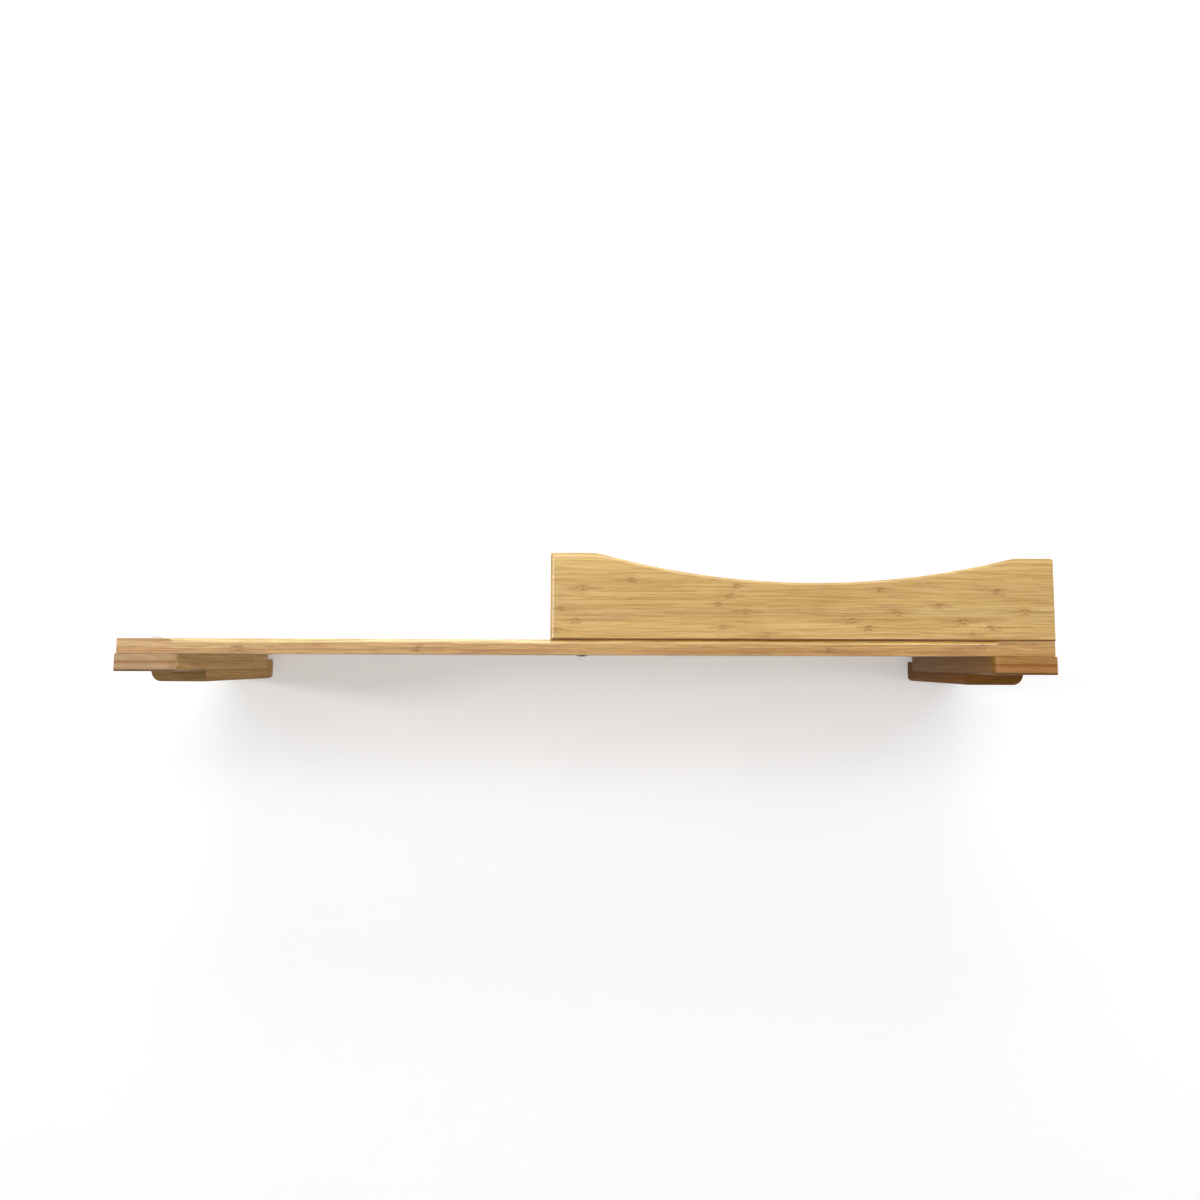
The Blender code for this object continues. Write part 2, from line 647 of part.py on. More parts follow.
def make_block(side, sign, parts, cutters):
    """The block under the arm, from its step back to the wall plate."""
    outer_r = BLOCK_OUTER_RADIUS
    inner_r = BLOCK_INNER_RADIUS
    points = [(ARM_INNER, BLOCK_TOP)]
    points += arc((ARM_INNER + inner_r, BLOCK_BOTTOM + inner_r), inner_r, 180, 270, EASE_STEPS)
    points += arc((BLOCK_OUTER - outer_r, BLOCK_BOTTOM + outer_r), outer_r, 270, 360, CORNER_STEPS)
    points += [(BLOCK_OUTER, BLOCK_TOP)]
    points = [(sign * across, along) for across, along in points]
    block = outline_solid(f"{side}_lower_block", points, BLOCK_FRONT, SHOULDER_Y, True, parts)
    # The origin is halfway along the block, so the front's corners are the ones below zero
    for vertex in block.data.vertices:
        if vertex.co.y < 0:
            vertex.co.y += BLOCK_LEAN * (BLOCK_TOP - vertex.co.z) / BLOCK_HEIGHT

    def rule(first, second):
        front = BLOCK_FRONT + BLOCK_LEAN + GAP
        at_front = first.y < front and second.y < front
        at_top = first.z > BLOCK_TOP - GAP and second.z > BLOCK_TOP - GAP
        return BLOCK_EDGE if at_front and not at_top else 0.0

    round_edges(block, rule, BLOCK_EDGE)
    hole = sunk_screw(WOOD_SCREW_HEAD, WOOD_SCREW_RADIUS, BLOCK_SCREW_LENGTH, GAP)
    for name, depth in BLOCK_SCREW_YS.items():
        place = (sign * ARM_CENTRE, depth, BLOCK_BOTTOM)
        drill(block, f"{side}_block_hole_{name}", cutters, hole, place, FACE_DOWN)
    set_finish(block, BAMBOO_SHADE, 0.5)
    smooth(block)
    return block


def make_wall_plate(side, sign, parts, cutters):
    """The plate that is screwed to the wall and carries the arm and the block."""
    corner = PLATE_CORNER
    outer_r = BLOCK_OUTER_RADIUS
    top_r = PLATE_TOP_CORNER
    points = arc((ARM_INNER + top_r, PLATE_TOP - top_r), top_r, 90, 180, 2)
    points += arc((ARM_INNER + corner, BLOCK_BOTTOM + corner), corner, 180, 270)
    points += arc((BLOCK_OUTER - outer_r, BLOCK_BOTTOM + outer_r), outer_r, 270, 360, CORNER_STEPS)
    points += [(BLOCK_OUTER, PLATE_TOP)]
    points = [(sign * across, along) for across, along in points]
    plate = outline_solid(f"{side}_wall_plate", points, -PLATE_THICK, 0.0, True, parts)
    hole = sunk_screw(WALL_SCREW_HEAD, WALL_SCREW_RADIUS, WALL_SCREW_LENGTH, GAP)
    lap = bore(WOOD_SCREW_RADIUS, OVERRUN, ARM_TOP - LAP_SCREW_LENGTH - 2 * GAP)
    for name, offset in (("outer", 1), ("inner", -1)):
        place = (sign * (ARM_CENTRE + offset * WALL_SCREW_OFFSET), -PLATE_THICK, PLATE_MIDDLE_Z)
        drill(plate, f"{side}_plate_wall_hole_{name}", cutters, hole, place, FACE_FRONT)
        place = (sign * (ARM_CENTRE + offset * LAP_SCREW_OFFSET), -PLATE_THICK / 2, 0)
        drill(plate, f"{side}_plate_lap_hole_{name}", cutters, lap, place)
    set_finish(plate, BAMBOO_SHADE, 0.5)
    smooth(plate)
    return plate


def make_bracket_fixings(side, sign, parts, meshes):
    """The screws, bolts and inserts of one bracket."""
    for name, offset in (("outer", 1), ("inner", -1)):
        place = (sign * (ARM_CENTRE + offset * WALL_SCREW_OFFSET), -PLATE_THICK, PLATE_MIDDLE_Z)
        screw = place_copy(f"{side}_wall_screw_{name}", meshes["wall"], parts, place, FACE_FRONT)
        set_finish(screw, ZINC, 0.35, 1.0)
        place = (sign * (ARM_CENTRE + offset * LAP_SCREW_OFFSET), -PLATE_THICK / 2, ARM_TOP - GAP)
        screw = place_copy(f"{side}_lap_screw_{name}", meshes["lap"], parts, place)
        set_finish(screw, STEEL, 0.35, 1.0)
    for name, depth in BLOCK_SCREW_YS.items():
        place = (sign * ARM_CENTRE, depth, BLOCK_BOTTOM)
        screw = place_copy(f"{side}_block_screw_{name}", meshes["block"], parts, place, FACE_DOWN)
        set_finish(screw, STEEL, 0.35, 1.0)
    for name, depth in zip(("front", "rear"), DECK_BOLT_YS):
        place = (sign * DECK_BOLT_X, depth, PLANK_THICK + GAP)
        bolt = place_copy(f"{side}_deck_bolt_{name}", meshes["bolt"], parts, place)
        set_finish(bolt, STEEL, 0.25, 1.0)
        place = (sign * DECK_BOLT_X, depth, ARM_TOP - INSERT_SINK)
        insert = place_copy(f"{side}_insert_{name}", meshes["insert"], parts, place)
        set_finish(insert, ZINC, 0.4, 1.0)


def fixing_meshes(cutters):
    """The meshes that repeated fasteners share."""
    meshes = {"bolt": deck_bolt_mesh(cutters), "insert": insert_mesh(cutters)}
    for name, head, shank, length in (
        ("wall", WALL_SCREW_HEAD, WALL_SCREW_RADIUS, WALL_SCREW_LENGTH),
        ("lap", WOOD_SCREW_HEAD, WOOD_SCREW_RADIUS, LAP_SCREW_LENGTH),
        ("block", WOOD_SCREW_HEAD, WOOD_SCREW_RADIUS, BLOCK_SCREW_LENGTH),
    ):
        meshes[name] = screw_mesh(name + "_screw", sunk_screw(head, shank, length), cutters)
    return meshes


def parent_to_empty(name, location, children, parts):
    """Gather pieces under an empty without moving them."""
    empty = bpy.data.objects.new(name, None)
    empty.location = location
    empty.empty_display_size = EMPTY_SIZE
    parts.objects.link(empty)
    for child in children:
        child.parent = empty
        child.location = Vector(child.location) - Vector(location)
    return empty


def main():
    """Build every piece of the bed."""
    clear_scene()
    parts = new_collection(PARTS_NAME)
    cutters = new_collection(CUTTERS_NAME)
    make_plank(parts, cutters)
    make_rail(parts, cutters)
    make_rail_fixings(parts, cutters)
    meshes = fixing_meshes(cutters)
    for side, sign in SIDES:
        make_arm(side, sign, parts, cutters)
        make_block(side, sign, parts, cutters)
        make_wall_plate(side, sign, parts, cutters)
        make_bracket_fixings(side, sign, parts, meshes)
        pieces = [obj for obj in parts.objects if obj.name.startswith(side)]
        parent_to_empty(f"{side}_bracket_origin", (sign * ARM_CENTRE, 0, 0), pieces, parts)
    bpy.context.view_layer.update()


main()
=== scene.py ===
"""Wall-mounted cat bed: the bamboo shelf with its scooped rail, on a white wall."""

import math

import bmesh
import bpy
from mathutils import Matrix, Vector


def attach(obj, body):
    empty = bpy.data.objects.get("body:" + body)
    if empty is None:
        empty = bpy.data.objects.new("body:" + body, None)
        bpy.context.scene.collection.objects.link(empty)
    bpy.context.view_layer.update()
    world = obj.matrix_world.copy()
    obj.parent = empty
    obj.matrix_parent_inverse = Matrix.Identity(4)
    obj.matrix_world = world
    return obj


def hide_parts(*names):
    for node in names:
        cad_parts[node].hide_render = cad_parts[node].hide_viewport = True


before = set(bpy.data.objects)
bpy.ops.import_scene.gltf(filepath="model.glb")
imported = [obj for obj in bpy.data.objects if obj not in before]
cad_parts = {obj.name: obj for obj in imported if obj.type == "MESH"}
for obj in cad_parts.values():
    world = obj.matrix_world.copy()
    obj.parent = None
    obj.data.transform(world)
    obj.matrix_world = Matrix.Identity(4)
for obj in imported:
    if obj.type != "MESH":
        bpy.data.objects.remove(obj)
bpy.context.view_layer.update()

# Sizes in metres, the same as the part's
GAP = 0.0003
PLANK_LENGTH = 1.080
PLANK_THICK = 0.018
PLANK_FRONT = -0.270
PLANK_BACK = -0.001
PLANK_EASE = 0.0015
NOSE_RADIUS = 0.005
NOSE_HALF_LENGTH = 0.480
NOSE_RUNOUT = 0.007
RAIL_LEFT = -0.0365
RAIL_THICK = 0.018
RAIL_PROUD = 0.002
RAIL_HEIGHT_LEFT = 0.1002
RAIL_HEIGHT_RIGHT = 0.0944
RAIL_CORNER = 0.0025
SCOOP_CENTRE_X = 0.2672
SCOOP_RADIUS = 0.924
SCOOP_LOW = 0.0657
SCOOP_EASE_RADIUS = 0.055
RAIL_ROUND = 0.006
RAIL_SIDE_ROUND = 0.0045
SCOOP_ROUND = 0.0032
SCOOP_ROUND_FROM = 0.0296
SCOOP_ROUND_TO = 0.4846
ARM_WIDTH = 0.071
ARM_THICK = 0.0204
ARM_PROUD = 0.004
ARM_NOSE_RADIUS = 0.010
ARM_CORNER = 0.0012
ARM_EDGE = 0.003
BLOCK_HEIGHT = 0.0133
BLOCK_SETBACK = 0.068
BLOCK_LEAN = 0.0070
BLOCK_SIDE_INSET = 0.003
BLOCK_OUTER_RADIUS = 0.009
BLOCK_INNER_RADIUS = 0.003
BLOCK_EDGE = 0.0012
PLATE_THICK = 0.019
PLATE_DROP = 0.0067
PLATE_CORNER = 0.006
PLATE_TOP_CORNER = 0.001
TONGUE_THICK = 0.0061
TONGUE_INSET = 0.010
DECK_BOLT_FROM_END = 0.032
DECK_BOLT_YS = (-0.242, -0.095)
DECK_BOLT_HEAD_RADIUS = 0.007
DECK_BOLT_HEAD_HEIGHT = 0.0024
DECK_BOLT_RADIUS = 0.003
DECK_BOLT_LENGTH = 0.030
HEX_SOCKET_RADIUS = 0.0023
HEX_SOCKET_DEPTH = 0.0015
RAIL_LINE_Y = -0.261
RAIL_SCREW_INSET = 0.0365
RAIL_SCREW_LENGTH = 0.045
RAIL_SCREW_HEAD_HEIGHT = 0.0016
LONG_SCREW_LENGTH = 0.070
WOOD_SCREW_HEAD = 0.0042
WOOD_SCREW_RADIUS = 0.002
BLOCK_SCREW_LENGTH = 0.028
BLOCK_SCREW_YS = {"front": -0.150, "rear": -0.045}
WALL_SCREW_HEAD = 0.005
WALL_SCREW_RADIUS = 0.00275
WALL_SCREW_LENGTH = 0.060
WALL_SCREW_OFFSET = 0.026
RECESS_ARM = 0.0022
RECESS_WIDTH = 0.0011
RECESS_TIP_WIDTH = 0.0008

# Heights and places worked out from the sizes above
HALF_LENGTH = PLANK_LENGTH / 2
ARM_TOP = -GAP
ARM_BOTTOM = ARM_TOP - ARM_THICK
ARM_FRONT = PLANK_FRONT - ARM_PROUD
ARM_INNER = HALF_LENGTH - ARM_WIDTH
ARM_CENTRE = HALF_LENGTH - ARM_WIDTH / 2
BLOCK_TOP = ARM_BOTTOM - GAP
BLOCK_BOTTOM = BLOCK_TOP - BLOCK_HEIGHT
BLOCK_FRONT = PLANK_FRONT + BLOCK_SETBACK
PLATE_TOP = -PLATE_DROP
PLATE_MIDDLE_Z = (PLATE_TOP + BLOCK_BOTTOM) / 2
BLOCK_OUTER = HALF_LENGTH - BLOCK_SIDE_INSET
SHOULDER_Y = -PLATE_THICK - GAP
RAIL_BASE = PLANK_THICK + GAP
RAIL_FRONT = PLANK_FRONT - RAIL_PROUD
RAIL_BACK = RAIL_FRONT + RAIL_THICK
DECK_BOLT_X = HALF_LENGTH - DECK_BOLT_FROM_END
RAIL_SCREW_X = RAIL_LEFT + RAIL_SCREW_INSET
LONG_SCREW_X = HALF_LENGTH - RAIL_SCREW_INSET

# The two brackets, and the turns that point a screw's head down or to the front
SIDES = (("left", -1), ("right", 1))
FACE_DOWN = (math.pi, 0, 0)
FACE_FRONT = (math.pi / 2, 0, 0)

# Wall and floor
WALL_Y = 0.0006
WALL_HALF_WIDTH = 3.2
WALL_TOP = 2.4
WALL_PLANK_HALF = HALF_LENGTH - 0.0015
WALL_COLOUR = (0.905, 0.915, 0.93)
WALL_GLOW = 0.3
FLOOR_Z = -1.3
FLOOR_HALF_SIZE = 2.0
FLOOR_COLOUR = (0.62, 0.62, 0.62)
# Openings behind the pieces that touch the wall: left, right, bottom, top. All but the first are mirrored too
WALL_OPENINGS = (
    (-WALL_PLANK_HALF, WALL_PLANK_HALF, 0.0010, 0.0170),
    (ARM_INNER + TONGUE_INSET + 0.001, WALL_PLANK_HALF, -0.0063, 0.0010),
    (ARM_INNER + 0.0015, BLOCK_OUTER - 0.0015, -0.0252, PLATE_TOP - 0.001),
    (ARM_INNER + 0.0075, BLOCK_OUTER - 0.0095, BLOCK_BOTTOM + 0.001, -0.0252),
)

# Finer than the part: the section of its rims, the ease of a sharp edge, the number of steps in a curve
NOSE_DEPTH = 0.0035
NOSE_TILT = (18, 68)
RAIL_RIM_DEPTH = 0.62
RAIL_RIM_TILT = (30, 62)
RAIL_FOOT_ROUND = 0.0017
RAIL_FOOT_CORNER = 0.0012
FINE_EASE = 0.0006
EDGE_CHANGE = 0.001
SHORT_EDGE = 0.02
RUNOUT_FROM = 0.3
OVERRUN = 0.002
SHARP_ANGLE = 50
FLAT_ANGLE = 0.001
NEARLY_STRAIGHT = 0.02
LEAST_CORNER = 0.00004
ON_AXIS = 1e-7
EASE_SEGMENTS = 6
CORNER_STEPS = 7
RIM_STEPS = 8
NOSE_STEPS = 12
RUNOUT_STEPS = 8
SCOOP_STEPS = 72
EASE_STEPS = 8

# Screws and bolts in detail
HEAD_EASE = 0.0001
SUNK_RIM = 0.0006
SUNK_DEPTH = 0.0029
NECK_SHARE = 0.9
WOOD_NECK_END = -0.006
WALL_NECK_END = -0.010
WASHER_NECK_END = -0.016
BLOCK_THREAD_FROM = 0.008
LONG_THREAD_FROM = 0.030
WALL_THREAD_FROM = 0.016
RAIL_THREAD_FROM = 0.018
ROOT_SHARE = 0.72
CREST_SHARE = 0.30
FINE_PITCH = 0.0018
COARSE_PITCH = 0.0026
THREAD_SIDES = 32
ROWS_A_TURN = 8
CROSS_DEPTH = 0.0016
WASHER_CROSS_DEPTH = 0.0010
DOME_RIM = 0.0005
BOLT_TIP = (0.0006, 0.001)
SOCKET_RIM_RADII = (0.0021, 0.0027)
SOCKET_RIM_RISES = (-0.0004, 0.0003)

# Growth nodes of the bamboo: place along X, height Z and size
RAIL_MARKS = (
    (0.058, 0.087, 1.0), (0.001, 0.078, 1.2), (0.177, 0.080, 0.9), (0.170, 0.069, 1.0), (0.157, 0.059, 0.9),
    (0.186, 0.051, 1.1), (-0.024, 0.054, 1.0), (-0.006, 0.040, 1.2), (-0.030, 0.029, 1.1),
    (0.162, 0.033, 1.0), (0.212, 0.025, 1.0), (0.342, 0.077, 1.1), (0.475, 0.075, 1.2), (0.408, 0.058, 1.1),
    (0.362, 0.049, 1.0), (0.505, 0.051, 1.1), (0.309, 0.041, 1.1), (0.434, 0.040, 1.2), (0.328, 0.033, 1.1),
    (0.469, 0.033, 1.1), (0.446, 0.025, 0.9),
)
PLANK_MARKS = ((-0.398, 0.007, 1.2), (-0.189, 0.007, 1.0), (0.284, 0.007, 1.0), (0.456, 0.012, 1.0))
MARK_WIDTH = 0.0052
MARK_HEIGHT = 0.0030
MARKS_DEPTH = 0.004

# Tint of the arms' end grain from the bottom up
ARM_BANDS = (
    (-0.0205, (0.70, 0.62, 0.60)), (-0.0180, (0.88, 0.84, 1.06)), (-0.0150, (1.06, 1.08, 1.50)),
    (-0.0125, (1.00, 0.96, 1.22)), (-0.0108, (0.86, 0.70, 0.70)), (-0.0085, (0.96, 0.92, 1.14)),
    (-0.0050, (1.06, 1.08, 1.48)), (-0.0005, (1.00, 1.00, 1.32)),
)
# Tint of the plank's plies from the bottom up
PLANK_PLIES = (
    (-0.0010, (0.95, 0.84, 0.72)), (0.0015, (1.02, 0.98, 0.90)), (0.0035, (0.98, 0.84, 0.70)),
    (0.0060, (0.93, 0.78, 0.64)), (0.0075, (1.00, 0.95, 0.92)), (0.0190, (1.00, 1.00, 1.00)),
)

# Light, middle and dark tone of each wood, and what all of them share
RAIL_TONES = ((0.755, 0.51, 0.190), (0.645, 0.400, 0.122), (0.49, 0.255, 0.055))
PLANK_TONES = ((0.70, 0.470, 0.190), (0.55, 0.330, 0.112), (0.36, 0.155, 0.035))
ARM_TONES = ((0.56, 0.36, 0.150), (0.46, 0.285, 0.100), (0.31, 0.165, 0.048))
BLOCK_TONES = ((0.53, 0.335, 0.130), (0.46, 0.275, 0.100), (0.32, 0.165, 0.048))
BEECH_TONES = ((0.66, 0.47, 0.28), (0.60, 0.42, 0.24), (0.48, 0.31, 0.17))
STAIN_COLOUR = (0.50, 0.235, 0.085)
SEAM_COLOUR = (0.26, 0.10, 0.035)
MARK_SHARES = (0.70, 0.54, 0.36)
# Painted shade on faces turned sideways on the right half of the shelf
SIDEWAYS_PAINTED_SHADE = (0.70, 0.67, 0.40)
STRIP_SHIFT = 37.0
NODE_SPACING = 0.29
ARM_SEAM = -0.0092

# Light and camera, fitted to the photograph. A lamp has a name, a place, a target, a size and a power;
# the camera's turn is its yaw, pitch and roll
WORLD_LIGHT = 0.25
LAMPS = (
    ("left_softbox", (-0.85, -2.25, 0.88), (0, 0, 0), (1.6, 0.8), 11),
    ("low_left_softbox", (-3.2, -2.8, 0.31), (0, 0, 0), (0.8, 0.45), 36),
    ("right_softbox", (0.95, -2.0, 1.20), (0, 0, 0), (2.3, 0.5), 12),
    ("overhead_softbox", (0.0, -0.9, 1.5), (0, -0.2, 0), (1.6, 0.5), 13),
    ("side_softbox", (2.4, -0.40, -0.35), (-0.45, -0.15, 0), (0.4, 0.4), 12),
    ("rear_fill", (0.0, 2.4, 1.0), (0, 0, 0), (1.6, 1.2), 26),
)
CAMERA_PLACE = (0.0348, -1.2044, -0.0054)
CAMERA_TURN = (-0.015, 0.07355, 0.00394)
FOCAL_PIXELS = 812.4
IMAGE_SIZE = 1200
SENSOR = 36.0


# ---------------------------------------------------------------- shader graphs


class Graph:
    """Adds shader nodes to a tree and wires them up."""

    def __init__(self, tree):
        self.tree = tree

    def feed(self, node, inputs):
        """Link or set a node's inputs, given by name or number."""
        for key, source in inputs.items():
            if isinstance(source, bpy.types.NodeSocket):
                self.tree.links.new(source, node.inputs[key])
            else:
                node.inputs[key].default_value = source

    def node(self, kind, inputs=None, **settings):
        node = self.tree.nodes.new("ShaderNode" + kind)
        for key, value in settings.items():
            setattr(node, key, value)
        self.feed(node, inputs or {})
        return node

    def math(self, operation, *terms):
        return self.node("Math", dict(enumerate(terms)), operation=operation).outputs[0]

    def times(self, first, second):
        return self.math("MULTIPLY", first, second)

    def scaled(self, value, factor, offset=0.0):
        return self.math("MULTIPLY_ADD", value, factor, offset)

    def vector(self, x, y, z):
        return self.node("CombineXYZ", {0: x, 1: y, 2: z}).outputs[0]

    def split(self, vector):
        return self.node("SeparateXYZ", {0: vector}).outputs

    def resized(self, vector, factor):
        return self.node("VectorMath", {0: vector, "Scale": factor}, operation="SCALE").outputs[0]

    def noise(self, vector, detail=2.0, roughness=0.5):
        inputs = {"Vector": vector, "Scale": 1.0, "Detail": detail, "Roughness": roughness}
        return self.node("TexNoise", inputs, noise_dimensions="3D").outputs["Fac"]

    def bump(self, shader, height, strength, distance):
        inputs = {"Strength": strength, "Distance": distance, "Height": height}
        self.feed(shader, {"Normal": self.node("Bump", inputs).outputs[0]})

    def step(self, value, low, high, to_low=0.0, to_high=1.0, linear=False):
        """Smooth or even change from one value to another as the input goes from low to high."""
        inputs = {"Value": value, "From Min": low, "From Max": high, "To Min": to_low, "To Max": to_high}
        change = "LINEAR" if linear else "SMOOTHSTEP"
        return self.node("MapRange", inputs, interpolation_type=change).outputs["Result"]

    def ramp(self, value, stops):
        """Colours that blend into each other at given values."""
        low = stops[0][0]
        high = stops[-1][0]
        node = self.node("ValToRGB", {0: self.step(value, low, high, linear=True)})
        spots = node.color_ramp.elements
        while len(spots) < len(stops):
            spots.new(1.0)
        for spot, (at, colour) in zip(spots, stops):
            spot.position = (at - low) / (high - low)
            spot.color = (*colour, 1.0)
        return node.outputs[0]

    def mix(self, factor, first, second, blend="MIX"):
        inputs = {0: factor}
        for key, colour in ((6, first), (7, second)):
            inputs[key] = colour if isinstance(colour, bpy.types.NodeSocket) else (*colour, 1.0)
        return self.node("Mix", inputs, data_type="RGBA", blend_type=blend, clamp_factor=True).outputs[2]

    def tint(self, colour, by, where=None):
        """A colour multiplied by another, all over or where a mask says."""
        product = self.mix(1.0, colour, by, "MULTIPLY")
        return product if where is None else self.mix(where, colour, product)


def new_material(name):
    """A material with a node tree, its graph helper and its shader."""
    material = bpy.data.materials.new(name)
    material.use_nodes = True
    graph = Graph(material.node_tree)
    return material, graph, material.node_tree.nodes["Principled BSDF"]


def growth_marks(g, along, up, marks):
    """Growth nodes at given places: a few broken roof-shaped ticks round a smudge, with streaks beside them.

    Returns how dark each point is and how strong the lighter halo round the ticks is.
    """
    here = g.vector(g.scaled(along, 1 / MARK_WIDTH), g.scaled(up, 1 / MARK_HEIGHT), 0.0)
    nearest = (50.0, 50.0, 0.0)
    reach = 60.0
    for at, height, size in marks:
        spot = (at / MARK_WIDTH, height / MARK_HEIGHT, 0.0)
        offset = g.node("VectorMath", {0: here, 1: spot}, operation="SUBTRACT").outputs[0]
        offset = g.resized(offset, 1 / size)
        length = g.node("VectorMath", {0: offset}, operation="LENGTH").outputs["Value"]
        closer = g.math("LESS_THAN", length, reach)
        nearest = g.node("Mix", {0: closer, 4: nearest, 5: offset}, data_type="VECTOR").outputs[1]
        reach = g.math("MINIMUM", reach, length)
    from_x, from_y, _ = g.split(nearest)
    coarse = g.noise(g.vector(g.scaled(along, 150.0), g.scaled(up, 260.0), 3.0))
    fine = g.noise(g.vector(g.scaled(along, 420.0), g.scaled(up, 1000.0), 0.0))
    dx = g.math("ADD", from_x, g.scaled(g.math("SUBTRACT", coarse, 0.5), 3.2))
    dy = g.math("ADD", from_y, g.scaled(g.math("SUBTRACT", fine, 0.5), 1.3))
    reach = g.math("SQRT", g.math("ADD", g.times(dx, dx), g.times(dy, dy)))
    window = g.step(reach, 0.5, 2.1, 1.0, 0.0)
    phase = g.math("ADD", g.scaled(dy, 0.75), g.scaled(g.math("ABSOLUTE", dx), 0.42))
    part = g.math("ABSOLUTE", g.math("SUBTRACT", g.math("FRACT", phase), 0.5))
    ticks = g.times(g.step(part, 0.16, 0.40, 1.0, 0.0), g.step(fine, 0.36, 0.58))
    smudge = g.times(g.step(reach, 0.1, 1.5, 1.0, 0.0), g.step(coarse, 0.40, 0.62, 0.25, 1.0))
    near_line = g.step(g.math("ABSOLUTE", dy), 0.15, 0.85, 1.0, 0.0)
    streak = g.times(near_line, g.step(g.math("ABSOLUTE", dx), 0.8, 5.5, 1.0, 0.0))
    dark = g.math("MAXIMUM", g.times(ticks, window), g.scaled(smudge, 0.75))
    dark = g.math("MAXIMUM", dark, g.times(streak, g.step(fine, 0.40, 0.66, 0.10, 0.65)))
    halo = g.times(window, g.step(part, 0.30, 0.48, 0.0, 0.7))
    return dark, halo


def bamboo(name, axes, pitch, layer, colours, marks=(), marks_front=None, seam_at=None, end_dark=0.72,
           gloss=(0.25, 0.15, 0.28, 1.5), right_tint_and_shade=None, red_stain=0.30, knuckles=0.75, bands=None,
           plies=None, painted_highlight=None, foot=(0.60, 0.50, 0.42)):
    """Laminated bamboo: strips with their own tone, fine fibres, growth nodes, seams and end grain.

    axes gives the axis along the grain, the one across the strips and the one through the layers.
    gloss gives the specular level and the coat's weight, roughness and IOR. right_tint_and_shade multiplies
    the colour of what lies on the right half of the shelf, partly its own warmer tone and partly painted
    shade;
    faces turned sideways there get a further painted shade.
    red_stain and knuckles say how strong the reddish streaks and the strips' own growth nodes are. bands
    gives heights and the end grain's tint at each, and plies the same for the other faces, whose lines
    waver. painted_highlight multiplies the colour where a face slopes between front and top, a painted
    highlight, and foot darkens it where it curves under, a painted shade.
    """
    light, middle, dark = colours
    material, g, shader = new_material(name)
    place = g.node("TexCoord").outputs["Object"]
    x, y, z = g.split(place)
    along, across, through = ((x, y, z)[axis] for axis in axes)

    def grain(stretch, squeeze, detail=2.0, roughness=0.5, shift=None):
        start = g.scaled(along, stretch)
        if shift is not None:
            start = g.scaled(shift, STRIP_SHIFT, start)
        spot = g.vector(start, g.scaled(across, squeeze), g.scaled(through, squeeze))
        return g.noise(spot, detail, roughness)

    sway = grain(11.0, 45.0, 1.0)
    across = g.scaled(g.math("SUBTRACT", sway, 0.5), 0.0022, across)
    strip_at = g.math("DIVIDE", across, pitch)
    layer_at = g.math("DIVIDE", through, layer)
    strip = g.vector(g.math("FLOOR", strip_at), g.math("FLOOR", layer_at), 0.0)
    chance = g.node("TexWhiteNoise", {"Vector": strip}, noise_dimensions="2D").outputs["Color"]
    first, second, third = g.node("SeparateColor", {0: chance}).outputs[:3]

    broad = grain(14.0, 520.0, 4.0, 0.64, first)
    fibre = grain(60.0, 850.0, shift=second)
    stain = grain(16.0, 190.0, 3.0, 0.6, third)
    drift = grain(3.2, 55.0)

    colour = g.mix(g.step(broad, 0.46, 0.61), middle, light)
    colour = g.mix(g.step(broad, 0.48, 0.32, 0.0, 0.75), colour, dark)
    colour = g.mix(g.step(fibre, 0.47, 0.28, 0.0, 0.40), colour, dark)
    colour = g.mix(g.step(fibre, 0.55, 0.72, 0.0, 0.45), colour, light)
    colour = g.mix(g.step(drift, 0.48, 0.28, 0.0, 0.40), colour, dark)
    colour = g.mix(g.step(stain, 0.54, 0.70, 0.0, red_stain), colour, STAIN_COLOUR)
    if plies:
        wavering = g.scaled(g.math("SUBTRACT", drift, 0.5), 0.007, z)
        colour = g.tint(colour, g.ramp(wavering, plies))
    tone = g.scaled(first, 0.16, 0.92)
    green = g.scaled(second, 0.035, g.math("SUBTRACT", tone, 0.0175))
    blue = g.scaled(third, 0.10, g.math("SUBTRACT", tone, 0.05))
    colour = g.tint(colour, g.node("CombineColor", {0: tone, 1: green, 2: blue}).outputs[0])

    # A thin glue line at each strip's edge
    part = g.math("FRACT", strip_at)
    near = g.math("MINIMUM", part, g.math("SUBTRACT", 1.0, part))
    glue = g.step(near, 0.00015 / pitch, 0.00055 / pitch, 1.0, 0.0)
    lines = g.times(glue, g.step(third, 0.2, 0.9, 0.10, 0.55))
    colour = g.mix(g.scaled(lines, 0.55), colour, dark)
    if seam_at is not None:
        gap = g.math("ABSOLUTE", g.math("SUBTRACT", through, seam_at))
        colour = g.mix(g.step(gap, 0.0003, 0.0011, 0.30, 0.0), colour, SEAM_COLOUR)

    # Growth nodes that every strip has at its own spacing
    part = g.math("FRACT", g.math("ADD", g.math("DIVIDE", along, NODE_SPACING), third))
    from_node = g.scaled(g.math("SUBTRACT", part, 0.5), NODE_SPACING)
    knot = grain(60.0, 420.0)
    from_node = g.scaled(g.math("SUBTRACT", knot, 0.5), 0.011, from_node)
    away = g.math("ABSOLUTE", from_node)
    knuckle = g.step(away, 0.0005, 0.0016, knuckles, 0.0)
    patchy = g.step(knot, 0.40, 0.62, 0.0, knuckles * 0.6)
    cloud = g.times(g.step(away, 0.001, 0.009, 1.0, 0.0), patchy)
    growth = g.math("MAXIMUM", knuckle, cloud)
    if marks:
        front = g.step(y, marks_front, marks_front + 0.0008, 1.0, 0.0)
        growth = g.times(growth, g.math("SUBTRACT", 1.0, front))
        strongest, brightest = growth_marks(g, along, z, marks)
        growth = g.math("MAXIMUM", growth, g.times(strongest, front))
        colour = g.mix(g.scaled(g.times(brightest, front), 0.6), colour, light)
    mark = tuple(part * share for part, share in zip(dark, MARK_SHARES))
    colour = g.mix(g.scaled(growth, 0.95), colour, mark)

